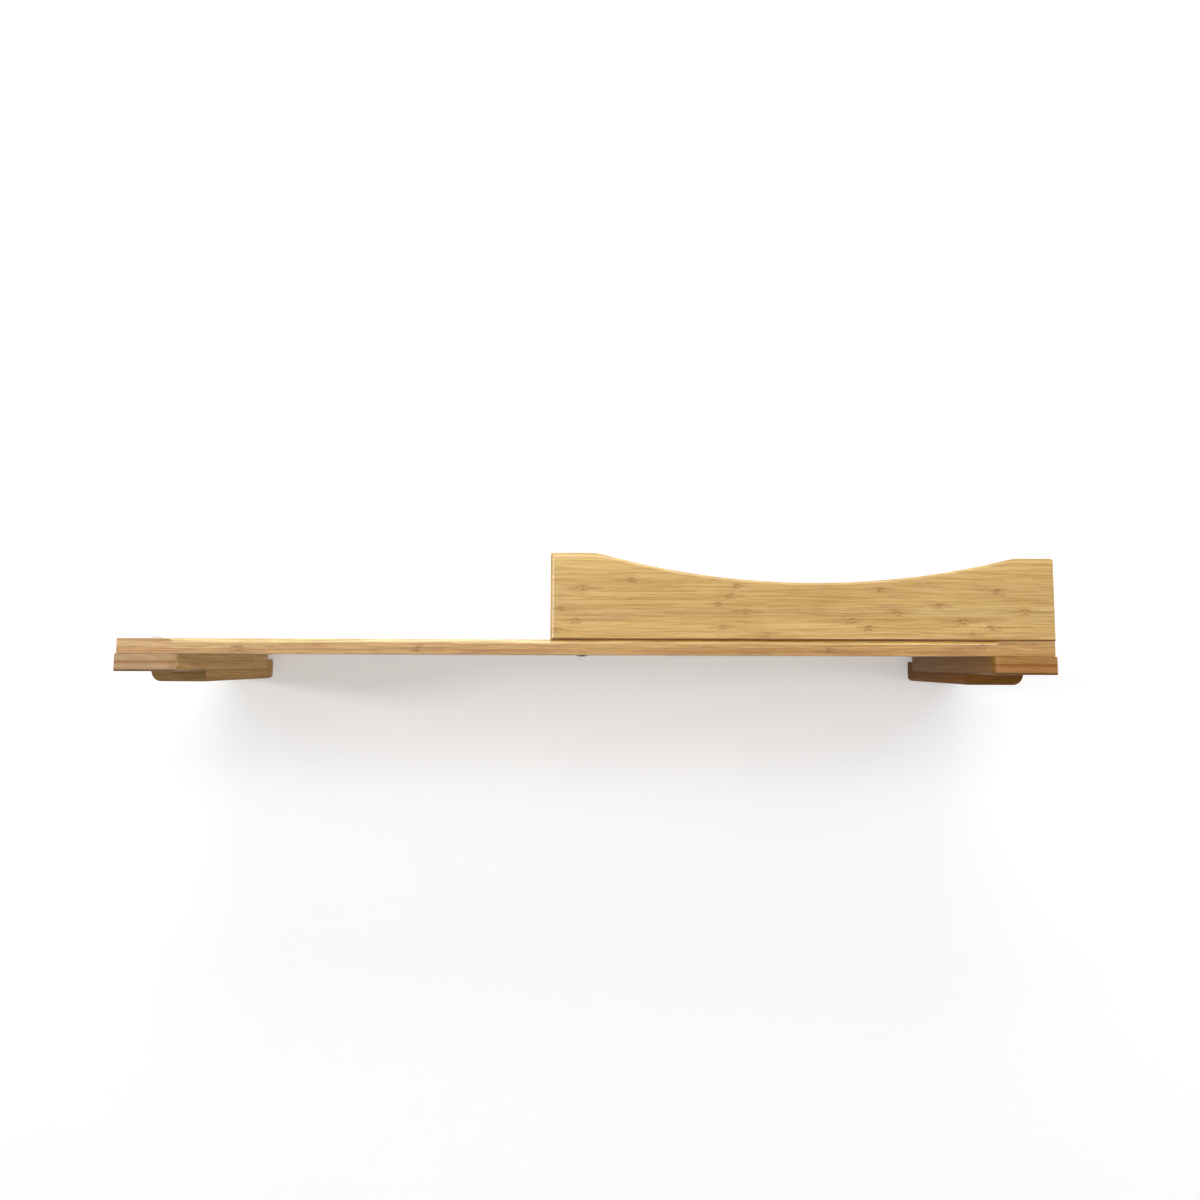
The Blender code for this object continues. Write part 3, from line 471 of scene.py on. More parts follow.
    # End grain shows the cut bundles as small dark dots
    normal = g.split(g.node("NewGeometry").outputs["Normal"])
    at_end = g.step(g.math("ABSOLUTE", normal[axes[0]]), 0.30, 0.75)
    dots = g.node("TexVoronoi", {"Vector": place, "Scale": 950.0}, feature="F1", voronoi_dimensions="3D")
    speck = g.step(dots.outputs["Distance"], 0.12, 0.42, 0.55, 0.0)
    bed = g.noise(g.vector(g.scaled(across, 40.0), g.scaled(through, 520.0), 0.0), 3.0)
    dull = tuple(part * end_dark for part in middle)
    pale = tuple(part * 0.95 for part in light)
    end = g.mix(g.step(bed, 0.36, 0.62), dull, pale)
    end = g.mix(speck, end, dark)
    if bands:
        end = g.tint(end, g.ramp(z, bands))
    if seam_at is not None:
        end = g.mix(g.step(gap, 0.0003, 0.0011, 0.75, 0.0), end, SEAM_COLOUR)
    colour = g.mix(at_end, colour, end)
    # Painted shade: faces that curve under are darkened by the foot tint
    under_shade_mask = g.step(normal[2], -0.15, -0.35)
    under_shade_mask = g.times(under_shade_mask, g.step(normal[2], -0.99, -0.93))
    colour = g.tint(colour, foot, under_shade_mask)
    # Painted highlight: faces sloping between front and top, such as the plank's nose, are made paler
    if painted_highlight:
        sloping = g.math("MINIMUM", normal[2], g.times(normal[1], -1.0))
        colour = g.tint(colour, painted_highlight, g.step(sloping, 0.15, 0.32))
    # The right half is darker and warmer: partly the wood's own tone, partly painted shade
    if right_tint_and_shade:
        on_right = g.step(x, -0.2, 0.2)
        # Painted shade: faces turned sideways there are darkened further
        sideways = g.step(g.math("ABSOLUTE", normal[0]), 0.60, 0.85)
        right_shaded_colour = g.tint(g.tint(colour, right_tint_and_shade), SIDEWAYS_PAINTED_SHADE, sideways)
        colour = g.mix(on_right, colour, right_shaded_colour)

    specular, coat, coat_roughness, coat_ior = gloss
    g.feed(shader, {
        "Base Color": colour, "Roughness": g.scaled(fibre, 0.16, g.scaled(broad, -0.10, 0.42)),
        "Specular IOR Level": specular, "Coat Weight": coat, "Coat Roughness": coat_roughness,
        "Coat IOR": coat_ior,
    })
    relief = g.scaled(broad, 0.5, g.scaled(fibre, 0.5))
    relief = g.math("SUBTRACT", relief, g.scaled(lines, 0.5))
    relief = g.math("SUBTRACT", relief, g.scaled(growth, 0.35))
    g.bump(shader, relief, 0.35, 0.00025)
    return material


def metal(name, colour, roughness):
    """Plated steel with a fine grain and a little unevenness."""
    material, g, shader = new_material(name)
    place = g.node("TexCoord").outputs["Object"]
    blotch = g.noise(g.resized(place, 500.0), 3.0)
    darker = tuple(part * 0.72 for part in colour)
    g.feed(shader, {
        "Base Color": g.mix(g.step(blotch, 0.35, 0.65), darker, colour),
        "Roughness": g.scaled(blotch, 0.22, roughness - 0.11), "Metallic": 1.0,
    })
    g.bump(shader, g.noise(g.resized(place, 4200.0)), 0.25, 0.00006)
    return material


# ---------------------------------------------------------------- mesh building


def link_mesh(name, mesh, location=(0, 0, 0), turn=(0, 0, 0)):
    """An object from a mesh, at a place."""
    obj = bpy.data.objects.new(name, mesh)
    obj.location = location
    obj.rotation_euler = turn
    bpy.context.scene.collection.objects.link(obj)
    return obj


def applied(obj, helpers=()):
    """The mesh of an object with modifiers and place applied; the object and its helpers are removed."""
    bpy.context.view_layer.update()
    mesh = bpy.data.meshes.new_from_object(obj.evaluated_get(bpy.context.evaluated_depsgraph_get()))
    mesh.transform(obj.matrix_world)
    for old in (obj, *helpers):
        bpy.data.objects.remove(old, do_unlink=True)
    return mesh


def solid(name, bm, outward=True, location=(0, 0, 0), turn=(0, 0, 0)):
    """An object from a finished bmesh, with its faces turned outwards unless they already are."""
    if outward:
        bmesh.ops.recalc_face_normals(bm, faces=bm.faces)
    mesh = bpy.data.meshes.new(name)
    bm.to_mesh(mesh)
    bm.free()
    return link_mesh(name, mesh, location, turn)


def box(name, low, high):
    """A box between two corners."""
    low = Vector(low)
    high = Vector(high)
    bm = bmesh.new()
    place = Matrix.Translation((low + high) / 2) @ Matrix.Diagonal((*(high - low), 1.0))
    bmesh.ops.create_cube(bm, size=1.0, matrix=place)
    return solid(name, bm, False)


def arc(centre, radius, start, end, steps):
    """Points on an arc, with angles in degrees, both ends included."""
    points = []
    for step in range(steps + 1):
        angle = math.radians(start + (end - start) * step / steps)
        points.append((centre[0] + radius * math.cos(angle), centre[1] + radius * math.sin(angle)))
    return points


def prism(name, points, bottom, top):
    """A flat outline made solid along Z."""
    bm = bmesh.new()
    rings = [[bm.verts.new((across, along, height)) for across, along in points] for height in (bottom, top)]
    bridge(bm, rings)
    bm.faces.new(rings[0])
    bm.faces.new(rings[1])
    return solid(name, bm)


def round_edges(obj, rule, largest):
    """Bevel the edges that a rule gives a radius."""
    bm = bmesh.new()
    bm.from_mesh(obj.data)
    weight = bm.edges.layers.float.new("bevel_weight_edge")
    for edge in bm.edges:
        edge[weight] = rule(edge) / largest
    bm.to_mesh(obj.data)
    bm.free()
    bevel = obj.modifiers.new("rounding", "BEVEL")
    bevel.limit_method = "WEIGHT"
    bevel.width = largest
    bevel.segments = EASE_SEGMENTS
    bevel.use_clamp_overlap = False


def offset_corner(before, at, after, step_before, step_after):
    """Where two edges of an outline meet once each has moved inwards by its own step."""
    first = (at - before).normalized()
    second = (after - at).normalized()
    inward_first = Vector((-first.y, first.x))
    inward_second = Vector((-second.y, second.x))
    cross = first.x * second.y - first.y * second.x
    if abs(cross) < NEARLY_STRAIGHT:
        return at + (inward_first + inward_second).normalized() * (step_before + step_after) / 2
    start = at + inward_first * step_before
    gap = at + inward_second * step_after - start
    return start + first * (gap.x * second.y - gap.y * second.x) / cross


def outline_ring(outline, steps):
    """An outline moved inwards edge by edge, with its corners rounded by what their radii have left.

    Each point comes with its share of the way from the edge before its corner to the edge after it, and
    with its corner's number.
    """
    ring = []
    count = len(outline)
    for index, (point, corner) in enumerate(outline):
        at = Vector(point)
        before = Vector(outline[index - 1][0])
        after = Vector(outline[(index + 1) % count][0])
        step_before = steps[index - 1]
        step_after = steps[index]
        middle = offset_corner(before, at, after, step_before, step_after)
        if not corner:
            ring.append((middle, 0.5, index))
            continue
        first = (at - before).normalized()
        second = (after - at).normalized()
        turn = first.angle_signed(second) * -1
        left = max(corner - max(step_before, step_after), LEAST_CORNER)
        start = middle - first * left * math.tan(turn / 2)
        centre = start + Vector((-first.y, first.x)) * left
        for part in range(CORNER_STEPS + 1):
            share = part / CORNER_STEPS
            spoke = start - centre
            spoke.rotate(Matrix.Rotation(turn * share, 2))
            ring.append((centre + spoke, share, index))
    return ring


def rim_profile(tilt, steps):
    """Section of a rim as shares of its depth and of its height, from the edge to the face.

    tilt gives how steep the rim is, in degrees, where it leaves the face and where it meets the edge.
    """
    first, last = (math.radians(angle) for angle in tilt)
    depth = math.cos(first) - math.cos(last)
    height = math.sin(last) - math.sin(first)
    shares = []
    for step in range(steps + 1):
        angle = last + (first - last) * step / steps
        deep = (math.cos(first) - math.cos(angle)) / depth
        high = (math.sin(angle) - math.sin(first)) / height
        shares.append((deep, high))
    return shares


def rounded_slab(name, outline, rounds, near, far, upright, lean=None, tilt=(0, 90), rim_depth=1.0):
    """A flat outline made solid with rounded rims.

    outline is anticlockwise: (point, corner radius). rounds gives each edge its rim's height on the near
    and on the far side; edge 0 runs from point 0 to point 1. rim_depth is a rim's depth as a share of its
    height. A tilt other than (0, 90) leaves a crisp line where the rim meets the face.
    """
    bm = bmesh.new()
    rings = []
    for side, face, away in ((0, near, 1), (1, far, -1)):
        radii = [pair[side] for pair in rounds]
        side_rings = []
        for deep, high in rim_profile(tilt, RIM_STEPS):
            spots = []
            for spot, share, index in outline_ring(outline, [radius * (1 - high) for radius in radii]):
                radius = radii[index - 1] * (1 - share) + radii[index] * share
                depth = face + away * radius * rim_depth * deep
                spots.append((spot.x, depth, spot.y) if upright else (spot.x, spot.y, depth))
            if lean:
                spots = [lean(spot, side) for spot in spots]
            side_rings.append([bm.verts.new(spot) for spot in spots])
        rings.append(side_rings)
    bridge(bm, rings[0][::-1] + rings[1])
    bm.faces.new(rings[0][-1])
    bm.faces.new(rings[1][-1])
    return solid(name, bm)


def cut(obj, cutter):
    """Cut another object's shape out of an object."""
    boolean = obj.modifiers.new("with_" + cutter.name, "BOOLEAN")
    boolean.operation = "DIFFERENCE"
    boolean.solver = "EXACT"
    boolean.object = cutter


def spun(radius, height, angle):
    """A point at a radius and a height, turned round Z by an angle."""
    return (radius * math.cos(angle), radius * math.sin(angle), height)


def axis_ring(bm, radius, height, steps):
    """Vertices in a ring round Z, or a single one on the axis."""
    if radius < ON_AXIS:
        return [bm.verts.new((0, 0, height))]
    return [bm.verts.new(spun(radius, height, math.tau * step / steps)) for step in range(steps)]


def turned(name, profile, steps=40, location=(0, 0, 0), turn=(0, 0, 0)):
    """A closed solid turned round Z from a profile that starts and ends on the axis."""
    bm = bmesh.new()
    bridge(bm, [axis_ring(bm, radius, height, steps) for radius, height in profile])
    return solid(name, bm, True, location, turn)


def bridge(bm, rings):
    """Faces between rings of equal length, or a ring and a single tip."""
    for first, second in zip(rings, rings[1:]):
        count = max(len(first), len(second))
        for step in range(count):
            after = (step + 1) % count
            corners = [first[step % len(first)], first[after % len(first)],
                       second[after % len(second)], second[step % len(second)]]
            unique = list(dict.fromkeys(corners))
            if len(unique) > 2:
                bm.faces.new(unique)


def finished(name, mesh, material, nodes, sharp=32):
    """Put a finished mesh in the scene as a piece that stands for its CAD nodes."""
    mesh.name = name
    mesh.materials.clear()
    mesh.materials.append(material)
    piece = link_mesh(name, mesh)
    mesh.shade_smooth()
    mesh.set_sharp_from_angle(angle=math.radians(sharp))
    weighted = piece.modifiers.new("even_shading", "WEIGHTED_NORMAL")
    weighted.keep_sharp = True
    weighted.weight = 100
    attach(piece, "root")
    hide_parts(*nodes)
    return piece


# ---------------------------------------------------------------- boards


def nose_cutter():
    """Bar that rounds the plank's front top edge and runs out before both ends."""
    foot = PLANK_THICK - NOSE_RADIUS
    section = []
    for deep, high in rim_profile(NOSE_TILT, NOSE_STEPS):
        section.append((PLANK_FRONT + NOSE_DEPTH * deep, foot + NOSE_RADIUS * high))
    outside = PLANK_FRONT - OVERRUN
    above = PLANK_THICK + OVERRUN
    section += [(outside, foot), (outside, above), (PLANK_FRONT + NOSE_DEPTH, above)]
    corner = Vector((outside, above))
    stations = []
    for step in range(RUNOUT_STEPS + 1):
        share = step / RUNOUT_STEPS
        reach = RUNOUT_FROM + (1 - RUNOUT_FROM) * math.sin(math.radians(90) * share)
        stations.append((-NOSE_HALF_LENGTH + NOSE_RUNOUT * share, reach))
    stations += [(-along, share) for along, share in reversed(stations)]
    bm = bmesh.new()
    rings = []
    for along, share in stations:
        ring = []
        for depth, height in section:
            point = corner.lerp(Vector((depth, height)), share)
            ring.append(bm.verts.new((along, point.x, point.y)))
        rings.append(ring)
    bridge(bm, rings)
    bm.faces.new(rings[0])
    bm.faces.new(rings[-1])
    return solid("nose_cutter", bm)


def make_plank(material):
    """The shelf board."""
    plank = box("plank", (-HALF_LENGTH, PLANK_FRONT, 0), (HALF_LENGTH, PLANK_BACK, PLANK_THICK))

    def rule(edge):
        first, second = (vertex.co for vertex in edge.verts)
        at_end = abs(first.x) > HALF_LENGTH - GAP and abs(first.x - second.x) < GAP
        if at_end and max(first.z, second.z) < GAP:
            return PLANK_EASE
        return FINE_EASE if edge.calc_face_angle() > math.radians(SHARP_ANGLE) else 0.0

    round_edges(plank, rule, PLANK_EASE)
    nose = nose_cutter()
    cut(plank, nose)
    return finished("bamboo_shelf_plank", applied(plank, [nose]), material, ["shelf_plank"])


def rail_outline():
    """The rail's outline: base, right end, flat, scoop, flat."""
    left_top = RAIL_BASE + RAIL_HEIGHT_LEFT
    right_top = RAIL_BASE + RAIL_HEIGHT_RIGHT
    centre_z = RAIL_BASE + SCOOP_LOW + SCOOP_RADIUS
    ease = SCOOP_EASE_RADIUS
    reach = SCOOP_RADIUS + ease
    points = [(RAIL_LEFT, PLANK_THICK), (HALF_LENGTH, PLANK_THICK), (HALF_LENGTH, right_top)]
    ends = []
    for top, sign in ((right_top, 1), (left_top, -1)):
        drop = centre_z - (top - ease)
        across = math.sqrt(reach ** 2 - drop ** 2)
        ends.append((SCOOP_CENTRE_X + sign * across, top - ease, math.degrees(math.atan2(across, drop))))
    right_x, right_z, right_angle = ends[0]
    left_x, left_z, left_angle = ends[1]
    points += arc((right_x, right_z), ease, 90, 90 + right_angle, EASE_STEPS)
    scoop = arc((SCOOP_CENTRE_X, centre_z), SCOOP_RADIUS, -90 + right_angle, -90 - left_angle, SCOOP_STEPS)
    points += scoop[1:-1]
    points += arc((left_x, left_z), ease, 90 - left_angle, 90, EASE_STEPS)
    return points + [(RAIL_LEFT, left_top)]


def rail_round(first, second):
    """Rim radius of one edge of the rail's outline."""
    middle = (first[0] + second[0]) / 2
    if max(first[1], second[1]) < RAIL_BASE + GAP or middle > HALF_LENGTH - GAP:
        return RAIL_FOOT_ROUND
    if middle < RAIL_LEFT + GAP:
        return RAIL_SIDE_ROUND
    if SCOOP_ROUND_FROM < middle < SCOOP_ROUND_TO:
        return SCOOP_ROUND
    return RAIL_ROUND


def smoothed(radii, points):
    """Rim radii that change over a few short edges instead of at one."""
    following = points[1:] + points[:1]
    lengths = [(Vector(after) - Vector(point)).length for point, after in zip(points, following)]
    result = list(radii)
    for _ in range(3):
        for index in range(1, len(result) - 1):
            if max(lengths[index - 1:index + 2]) < SHORT_EDGE:
                result[index] = (radii[index - 1] + radii[index] * 2 + radii[index + 1]) / 4
        radii = list(result)
    return result


def make_rail(material):
    """The front rail, upright on the plank's front edge."""
    points = rail_outline()
    corners = {
        points[0]: RAIL_FOOT_CORNER, points[1]: FINE_EASE, points[2]: RAIL_CORNER, points[-1]: RAIL_CORNER,
    }
    outline = [(point, corners.get(point, 0.0)) for point in points]
    radii = [rail_round(point, after) for point, after in zip(points, points[1:] + points[:1])]
    radii = smoothed(radii, points)
    rounds = [(radius, radius) for radius in radii]
    rail = rounded_slab(
        "rail", outline, rounds, RAIL_FRONT, RAIL_BACK, True, tilt=RAIL_RIM_TILT, rim_depth=RAIL_RIM_DEPTH)
    return finished("bamboo_scooped_rail", applied(rail), material, ["front_rail"])


def mirrored(outline, rounds, sign):
    """The outline itself, or its mirror image in X, still anticlockwise."""
    if sign > 0:
        return outline, rounds
    count = len(outline)
    flipped = [((-point[0], point[1]), corner) for point, corner in reversed(outline)]
    return flipped, [rounds[(count - 2 - index) % count] for index in range(count)]


def make_arm(side, sign, material):
    """The bracket's upper arm."""
    outline = [
        ((ARM_INNER, PLANK_BACK), 0.0), ((ARM_INNER, BLOCK_FRONT + EDGE_CHANGE), 0.0),
        ((ARM_INNER, BLOCK_FRONT), 0.0), ((ARM_INNER, ARM_FRONT), ARM_NOSE_RADIUS),
        ((HALF_LENGTH, ARM_FRONT), ARM_CORNER), ((HALF_LENGTH, PLANK_BACK), FINE_EASE),
    ]
    low = [FINE_EASE, (FINE_EASE + ARM_EDGE) / 2, ARM_EDGE, ARM_EDGE, FINE_EASE, FINE_EASE]
    rounds = [(radius, FINE_EASE) for radius in low]
    outline, rounds = mirrored(outline, rounds, sign)
    arm = rounded_slab(f"{side}_arm_shape", outline, rounds, ARM_BOTTOM, 0.0, False)
    centre = sign * ARM_CENTRE
    rebate = box(f"{side}_rebate", (centre - ARM_WIDTH, SHOULDER_Y, ARM_BOTTOM - OVERRUN),
                 (centre + ARM_WIDTH, OVERRUN, ARM_TOP - TONGUE_THICK))
    beside = (sign * (ARM_INNER - OVERRUN), sign * (ARM_INNER + TONGUE_INSET))
    notch = box(f"{side}_notch", (min(beside), SHOULDER_Y, ARM_BOTTOM - OVERRUN),
                (max(beside), OVERRUN, OVERRUN))
    cut(arm, rebate)
    cut(arm, notch)
    mesh = applied(arm, [rebate, notch])
    return finished(f"{side}_bracket_arm", mesh, material, [f"{side}_arm"])


def block_screw_places(sign):
    """Where a bracket's block screws have their heads."""
    return {name: (sign * ARM_CENTRE, depth, BLOCK_BOTTOM) for name, depth in BLOCK_SCREW_YS.items()}


def wall_screw_places(sign):
    """Where a bracket's wall screws have their heads."""
    return {name: (sign * (ARM_CENTRE + offset * WALL_SCREW_OFFSET), -PLATE_THICK, PLATE_MIDDLE_Z)
            for name, offset in (("outer", 1), ("inner", -1))}


def drilled(board, places, turn, head, shank, length):
    """The mesh of a board with countersunk holes."""
    cutters = []
    for name, place in places.items():
        hole = turned(f"{board.name}_hole_{name}", hole_profile(head, shank, length), 40, place, turn)
        cut(board, hole)
        cutters.append(hole)
    return applied(board, cutters)


def make_block(side, sign, material):
    """The block under the arm."""
    outline = [
        ((ARM_INNER, ARM_BOTTOM), 0.0), ((ARM_INNER, BLOCK_BOTTOM), BLOCK_INNER_RADIUS),
        ((BLOCK_OUTER, BLOCK_BOTTOM), BLOCK_OUTER_RADIUS), ((BLOCK_OUTER, ARM_BOTTOM), 0.0),
    ]
    rounds = [(BLOCK_EDGE, FINE_EASE)] * 3 + [(FINE_EASE, FINE_EASE)]
    outline, rounds = mirrored(outline, rounds, sign)

    def lean(spot, far_side):
        slide = 0.0 if far_side else BLOCK_LEAN * (BLOCK_TOP - spot[2]) / BLOCK_HEIGHT
        return (spot[0], spot[1] + slide, spot[2])

    block = rounded_slab(f"{side}_block_shape", outline, rounds, BLOCK_FRONT, SHOULDER_Y, True, lean)
    mesh = drilled(block, block_screw_places(sign), FACE_DOWN, WOOD_SCREW_HEAD, WOOD_SCREW_RADIUS,
                   BLOCK_SCREW_LENGTH)
    return finished(f"{side}_bracket_block", mesh, material, [f"{side}_lower_block"])


def make_plate(side, sign, material):
    """The plate on the wall."""
    outline = [
        ((ARM_INNER, PLATE_TOP), PLATE_TOP_CORNER), ((ARM_INNER, BLOCK_BOTTOM), PLATE_CORNER),
        ((BLOCK_OUTER, BLOCK_BOTTOM), BLOCK_OUTER_RADIUS), ((BLOCK_OUTER, PLATE_TOP), FINE_EASE),
    ]
    outline, rounds = mirrored(outline, [(FINE_EASE, FINE_EASE)] * 4, sign)
    plate = rounded_slab(f"{side}_plate_shape", outline, rounds, -PLATE_THICK, 0.0, True)
    mesh = drilled(plate, wall_screw_places(sign), FACE_FRONT, WALL_SCREW_HEAD, WALL_SCREW_RADIUS,
                   WALL_SCREW_LENGTH)
    return finished(f"{side}_bracket_wall_plate", mesh, material, [f"{side}_wall_plate"])


# ---------------------------------------------------------------- fasteners


def hole_profile(head, shank, length):
    """Profile of a countersunk screw's hole, with its face at height 0."""
    rim = head + GAP
    body = shank + GAP
    tip = length + GAP
    taper = SUNK_RIM + head - shank
    return [(0, GAP * 2), (rim, GAP * 2), (rim, -SUNK_RIM), (body, -taper), (body, -tip + shank * 2),
            (0, -tip)]


def sunk_head(head, shank, neck_end):
    """Profile of a countersunk head and the neck below it."""
    neck = shank * NECK_SHARE
    return [(0, 0), (head - HEAD_EASE, 0), (head, -HEAD_EASE), (head, -SUNK_RIM), (neck, -SUNK_DEPTH),
            (neck, neck_end)]


def cross_cutter(name, face, depth):
    """Cross recess of a screw's drive."""
    quarter = [(RECESS_ARM, -RECESS_TIP_WIDTH / 2), (RECESS_ARM, RECESS_TIP_WIDTH / 2),
               (RECESS_WIDTH / 2, RECESS_WIDTH / 2)]
    points = []
    for turn in range(4):
        angle = turn * math.pi / 2
        for across, along in quarter:
            points.append((across * math.cos(angle) - along * math.sin(angle),
                           across * math.sin(angle) + along * math.cos(angle)))
    return prism(name, points, face - depth, face + depth)


def screw_mesh(name, head_profile, thread_from, length, shank=WOOD_SCREW_RADIUS, pitch=FINE_PITCH,
               cross=(0, CROSS_DEPTH)):
    """A wood screw: head, plain neck, then a thread as one closed skin down to its point.

    cross gives the height of the head's face and the depth of its recess.
    """
    bm = bmesh.new()
    rings = [axis_ring(bm, radius, height, THREAD_SIDES) for radius, height in head_profile]
    root = shank * ROOT_SHARE
    rows = int((length - thread_from) / (pitch / ROWS_A_TURN))
    point_length = shank * 3
    for row in range(rows):
        height = -thread_from - (length - thread_from) * row / rows
        taper = min(1.0, max(0.04, (length + height) / point_length))
        start = min(1.0, row / ROWS_A_TURN)
        ring = []
        for side in range(THREAD_SIDES):
            turn = side / THREAD_SIDES
            phase = (-height / pitch + turn) % 1.0
            crest = max(0.0, 1.0 - abs(phase - 0.5) / CREST_SHARE)
            radius = (root + (shank - root) * crest * start) * taper
            ring.append(bm.verts.new(spun(radius, height, math.tau * turn)))
        rings.append(ring)
    rings.append([bm.verts.new((0, 0, -length))])
    bridge(bm, rings)
    bmesh.ops.recalc_face_normals(bm, faces=bm.faces)
    bmesh.ops.dissolve_limit(bm, angle_limit=FLAT_ANGLE, verts=rings[1], edges=[
        edge for edge in bm.edges if rings[0][0] in edge.verts])
    screw = solid(name, bm, False)
    recess = cross_cutter(name + "_cross", *cross)
    cut(screw, recess)
    return applied(screw, [recess])


def dome(radius, height, steps=8):
    """Profile of a low dome from its top to the foot of its rim at height 0."""
    rise = height - DOME_RIM
    curve = (radius ** 2 + rise ** 2) / (2 * rise)
    sweep = math.degrees(math.asin(radius / curve))
    points = arc((0, height - curve), curve, 90, 90 - sweep, steps)
    points[0] = (0, height)
    soft = DOME_RIM * 0.35
    points[-1] = (radius - soft * 0.4, DOME_RIM + soft * 0.3)
    return points + [(radius, DOME_RIM - soft * 0.5), (radius, soft * 0.5), (radius - soft * 0.5, 0)]


def bolt_mesh():
    """A domed bolt with a hexagon socket."""
    head = dome(DECK_BOLT_HEAD_RADIUS, DECK_BOLT_HEAD_HEIGHT, 12)
    tip_step, tip_length = BOLT_TIP
    profile = head + [(DECK_BOLT_RADIUS, 0), (DECK_BOLT_RADIUS, -DECK_BOLT_LENGTH + tip_length),
                      (DECK_BOLT_RADIUS - tip_step, -DECK_BOLT_LENGTH), (0, -DECK_BOLT_LENGTH)]
    bolt = turned("bolt_shape", profile, 48)
    low = DECK_BOLT_HEAD_HEIGHT - HEX_SOCKET_DEPTH
    hexagon = prism("hexagon", arc((0, 0), HEX_SOCKET_RADIUS, 0, 300, 5), low, low + OVERRUN * 2)
    inner, outer = SOCKET_RIM_RADII
    bottom, top = (DECK_BOLT_HEAD_HEIGHT + rise for rise in SOCKET_RIM_RISES)
    rim = turned("socket_rim", [(0, bottom), (inner, bottom), (outer, top), (0, top)], 48)
    cut(bolt, hexagon)
    cut(bolt, rim)
    return applied(bolt, [hexagon, rim])


def place_copy(name, mesh, location, turn, material, node):
    """A finished copy of a shared fastener mesh at its place."""
    copy = mesh.copy()
    copy.transform(Matrix.Translation(location) @ Matrix.Rotation(turn[0], 4, "X"))
    return finished(name, copy, material, [node], 40)


def make_fasteners(steel, dark_steel, zinc):
    """Every fastener of which some part can be seen."""
    bolt = bolt_mesh()
    sunk = sunk_head(WOOD_SCREW_HEAD, WOOD_SCREW_RADIUS, WOOD_NECK_END)
    block = screw_mesh("block_screw", sunk, BLOCK_THREAD_FROM, BLOCK_SCREW_LENGTH)
    long_one = screw_mesh("long_screw", sunk, LONG_THREAD_FROM, LONG_SCREW_LENGTH)
    sunk = sunk_head(WALL_SCREW_HEAD, WALL_SCREW_RADIUS, WALL_NECK_END)
    wall = screw_mesh("wall_screw", sunk, WALL_THREAD_FROM, WALL_SCREW_LENGTH, WALL_SCREW_RADIUS,
                      COARSE_PITCH)
    neck = WOOD_SCREW_RADIUS * NECK_SHARE
    washer = dome(DECK_BOLT_HEAD_RADIUS, RAIL_SCREW_HEAD_HEIGHT) + [(neck, 0), (neck, WASHER_NECK_END)]
    rail = screw_mesh("rail_screw", washer, RAIL_THREAD_FROM, RAIL_SCREW_LENGTH,
                      cross=(RAIL_SCREW_HEAD_HEIGHT, WASHER_CROSS_DEPTH))
    place_copy("rail_washer_head_screw", rail, (RAIL_SCREW_X, RAIL_LINE_Y, -GAP), FACE_DOWN, dark_steel,
               "rail_screw_left")
    place_copy("rail_long_screw", long_one, (LONG_SCREW_X, RAIL_LINE_Y, ARM_BOTTOM), FACE_DOWN, steel,
               "rail_screw_right")
    for side, sign in SIDES:
        for name, depth in zip(("front", "rear"), DECK_BOLT_YS):
            place_copy(f"{side}_domed_bolt_{name}", bolt, (sign * DECK_BOLT_X, depth, PLANK_THICK + GAP),
                       (0, 0, 0), steel, f"{side}_deck_bolt_{name}")
        for name, place in block_screw_places(sign).items():
            place_copy(f"{side}_sunk_screw_{name}", block, place, FACE_DOWN, steel,
                       f"{side}_block_screw_{name}")
        for name, place in wall_screw_places(sign).items():
            place_copy(f"{side}_anchor_screw_{name}", wall, place, FACE_FRONT, zinc,
                       f"{side}_wall_screw_{name}")


# ---------------------------------------------------------------- stage, light and camera


def seen_rays(g):
    """1 for the rays in which the background is seen, directly or in metal."""
    path = g.node("LightPath")
    reflected = g.math("MAXIMUM", path.outputs["Is Glossy Ray"], path.outputs["Is Transmission Ray"])
    return g.math("MAXIMUM", path.outputs["Is Camera Ray"], reflected)


def make_wall():
    """The white wall, open behind the pieces that touch it and clear from behind."""
    mirrored_ones = [(-east, -west, low, high) for west, east, low, high in WALL_OPENINGS[1:]]
    openings = [*WALL_OPENINGS, *mirrored_ones]
    xs = sorted({-WALL_HALF_WIDTH, WALL_HALF_WIDTH, *(x for opening in openings for x in opening[:2])})
    zs = sorted({FLOOR_Z, WALL_TOP, *(z for opening in openings for z in opening[2:])})
    bm = bmesh.new()
    grid = [[bm.verts.new((x, WALL_Y, z)) for z in zs] for x in xs]
    for column in range(len(xs) - 1):
        for row in range(len(zs) - 1):
            across = (xs[column] + xs[column + 1]) / 2
            up = (zs[row] + zs[row + 1]) / 2
            if any(west < across < east and low < up < high for west, east, low, high in openings):
                continue
            left, right = grid[column:column + 2]
            bm.faces.new((left[row], right[row], right[row + 1], left[row + 1]))
    wall = solid("wall", bm, False)
    material = bpy.data.materials.new("white_wall")
    material.use_nodes = True
    material.node_tree.nodes.clear()
    g = Graph(material.node_tree)
    plain = g.node("BsdfDiffuse", {"Color": (*WALL_COLOUR, 1.0)})
    glow = g.node("Emission", {"Color": (1, 1, 1, 1), "Strength": g.scaled(seen_rays(g), WALL_GLOW)})
    front = g.node("AddShader", {0: plain.outputs[0], 1: glow.outputs[0]})
    clear = g.node("BsdfTransparent")
    behind = g.node("NewGeometry").outputs["Backfacing"]
    mixed = g.node("MixShader", {0: behind, 1: front.outputs[0], 2: clear.outputs[0]})
    g.node("OutputMaterial", {"Surface": mixed.outputs[0]})
    wall.data.materials.append(material)


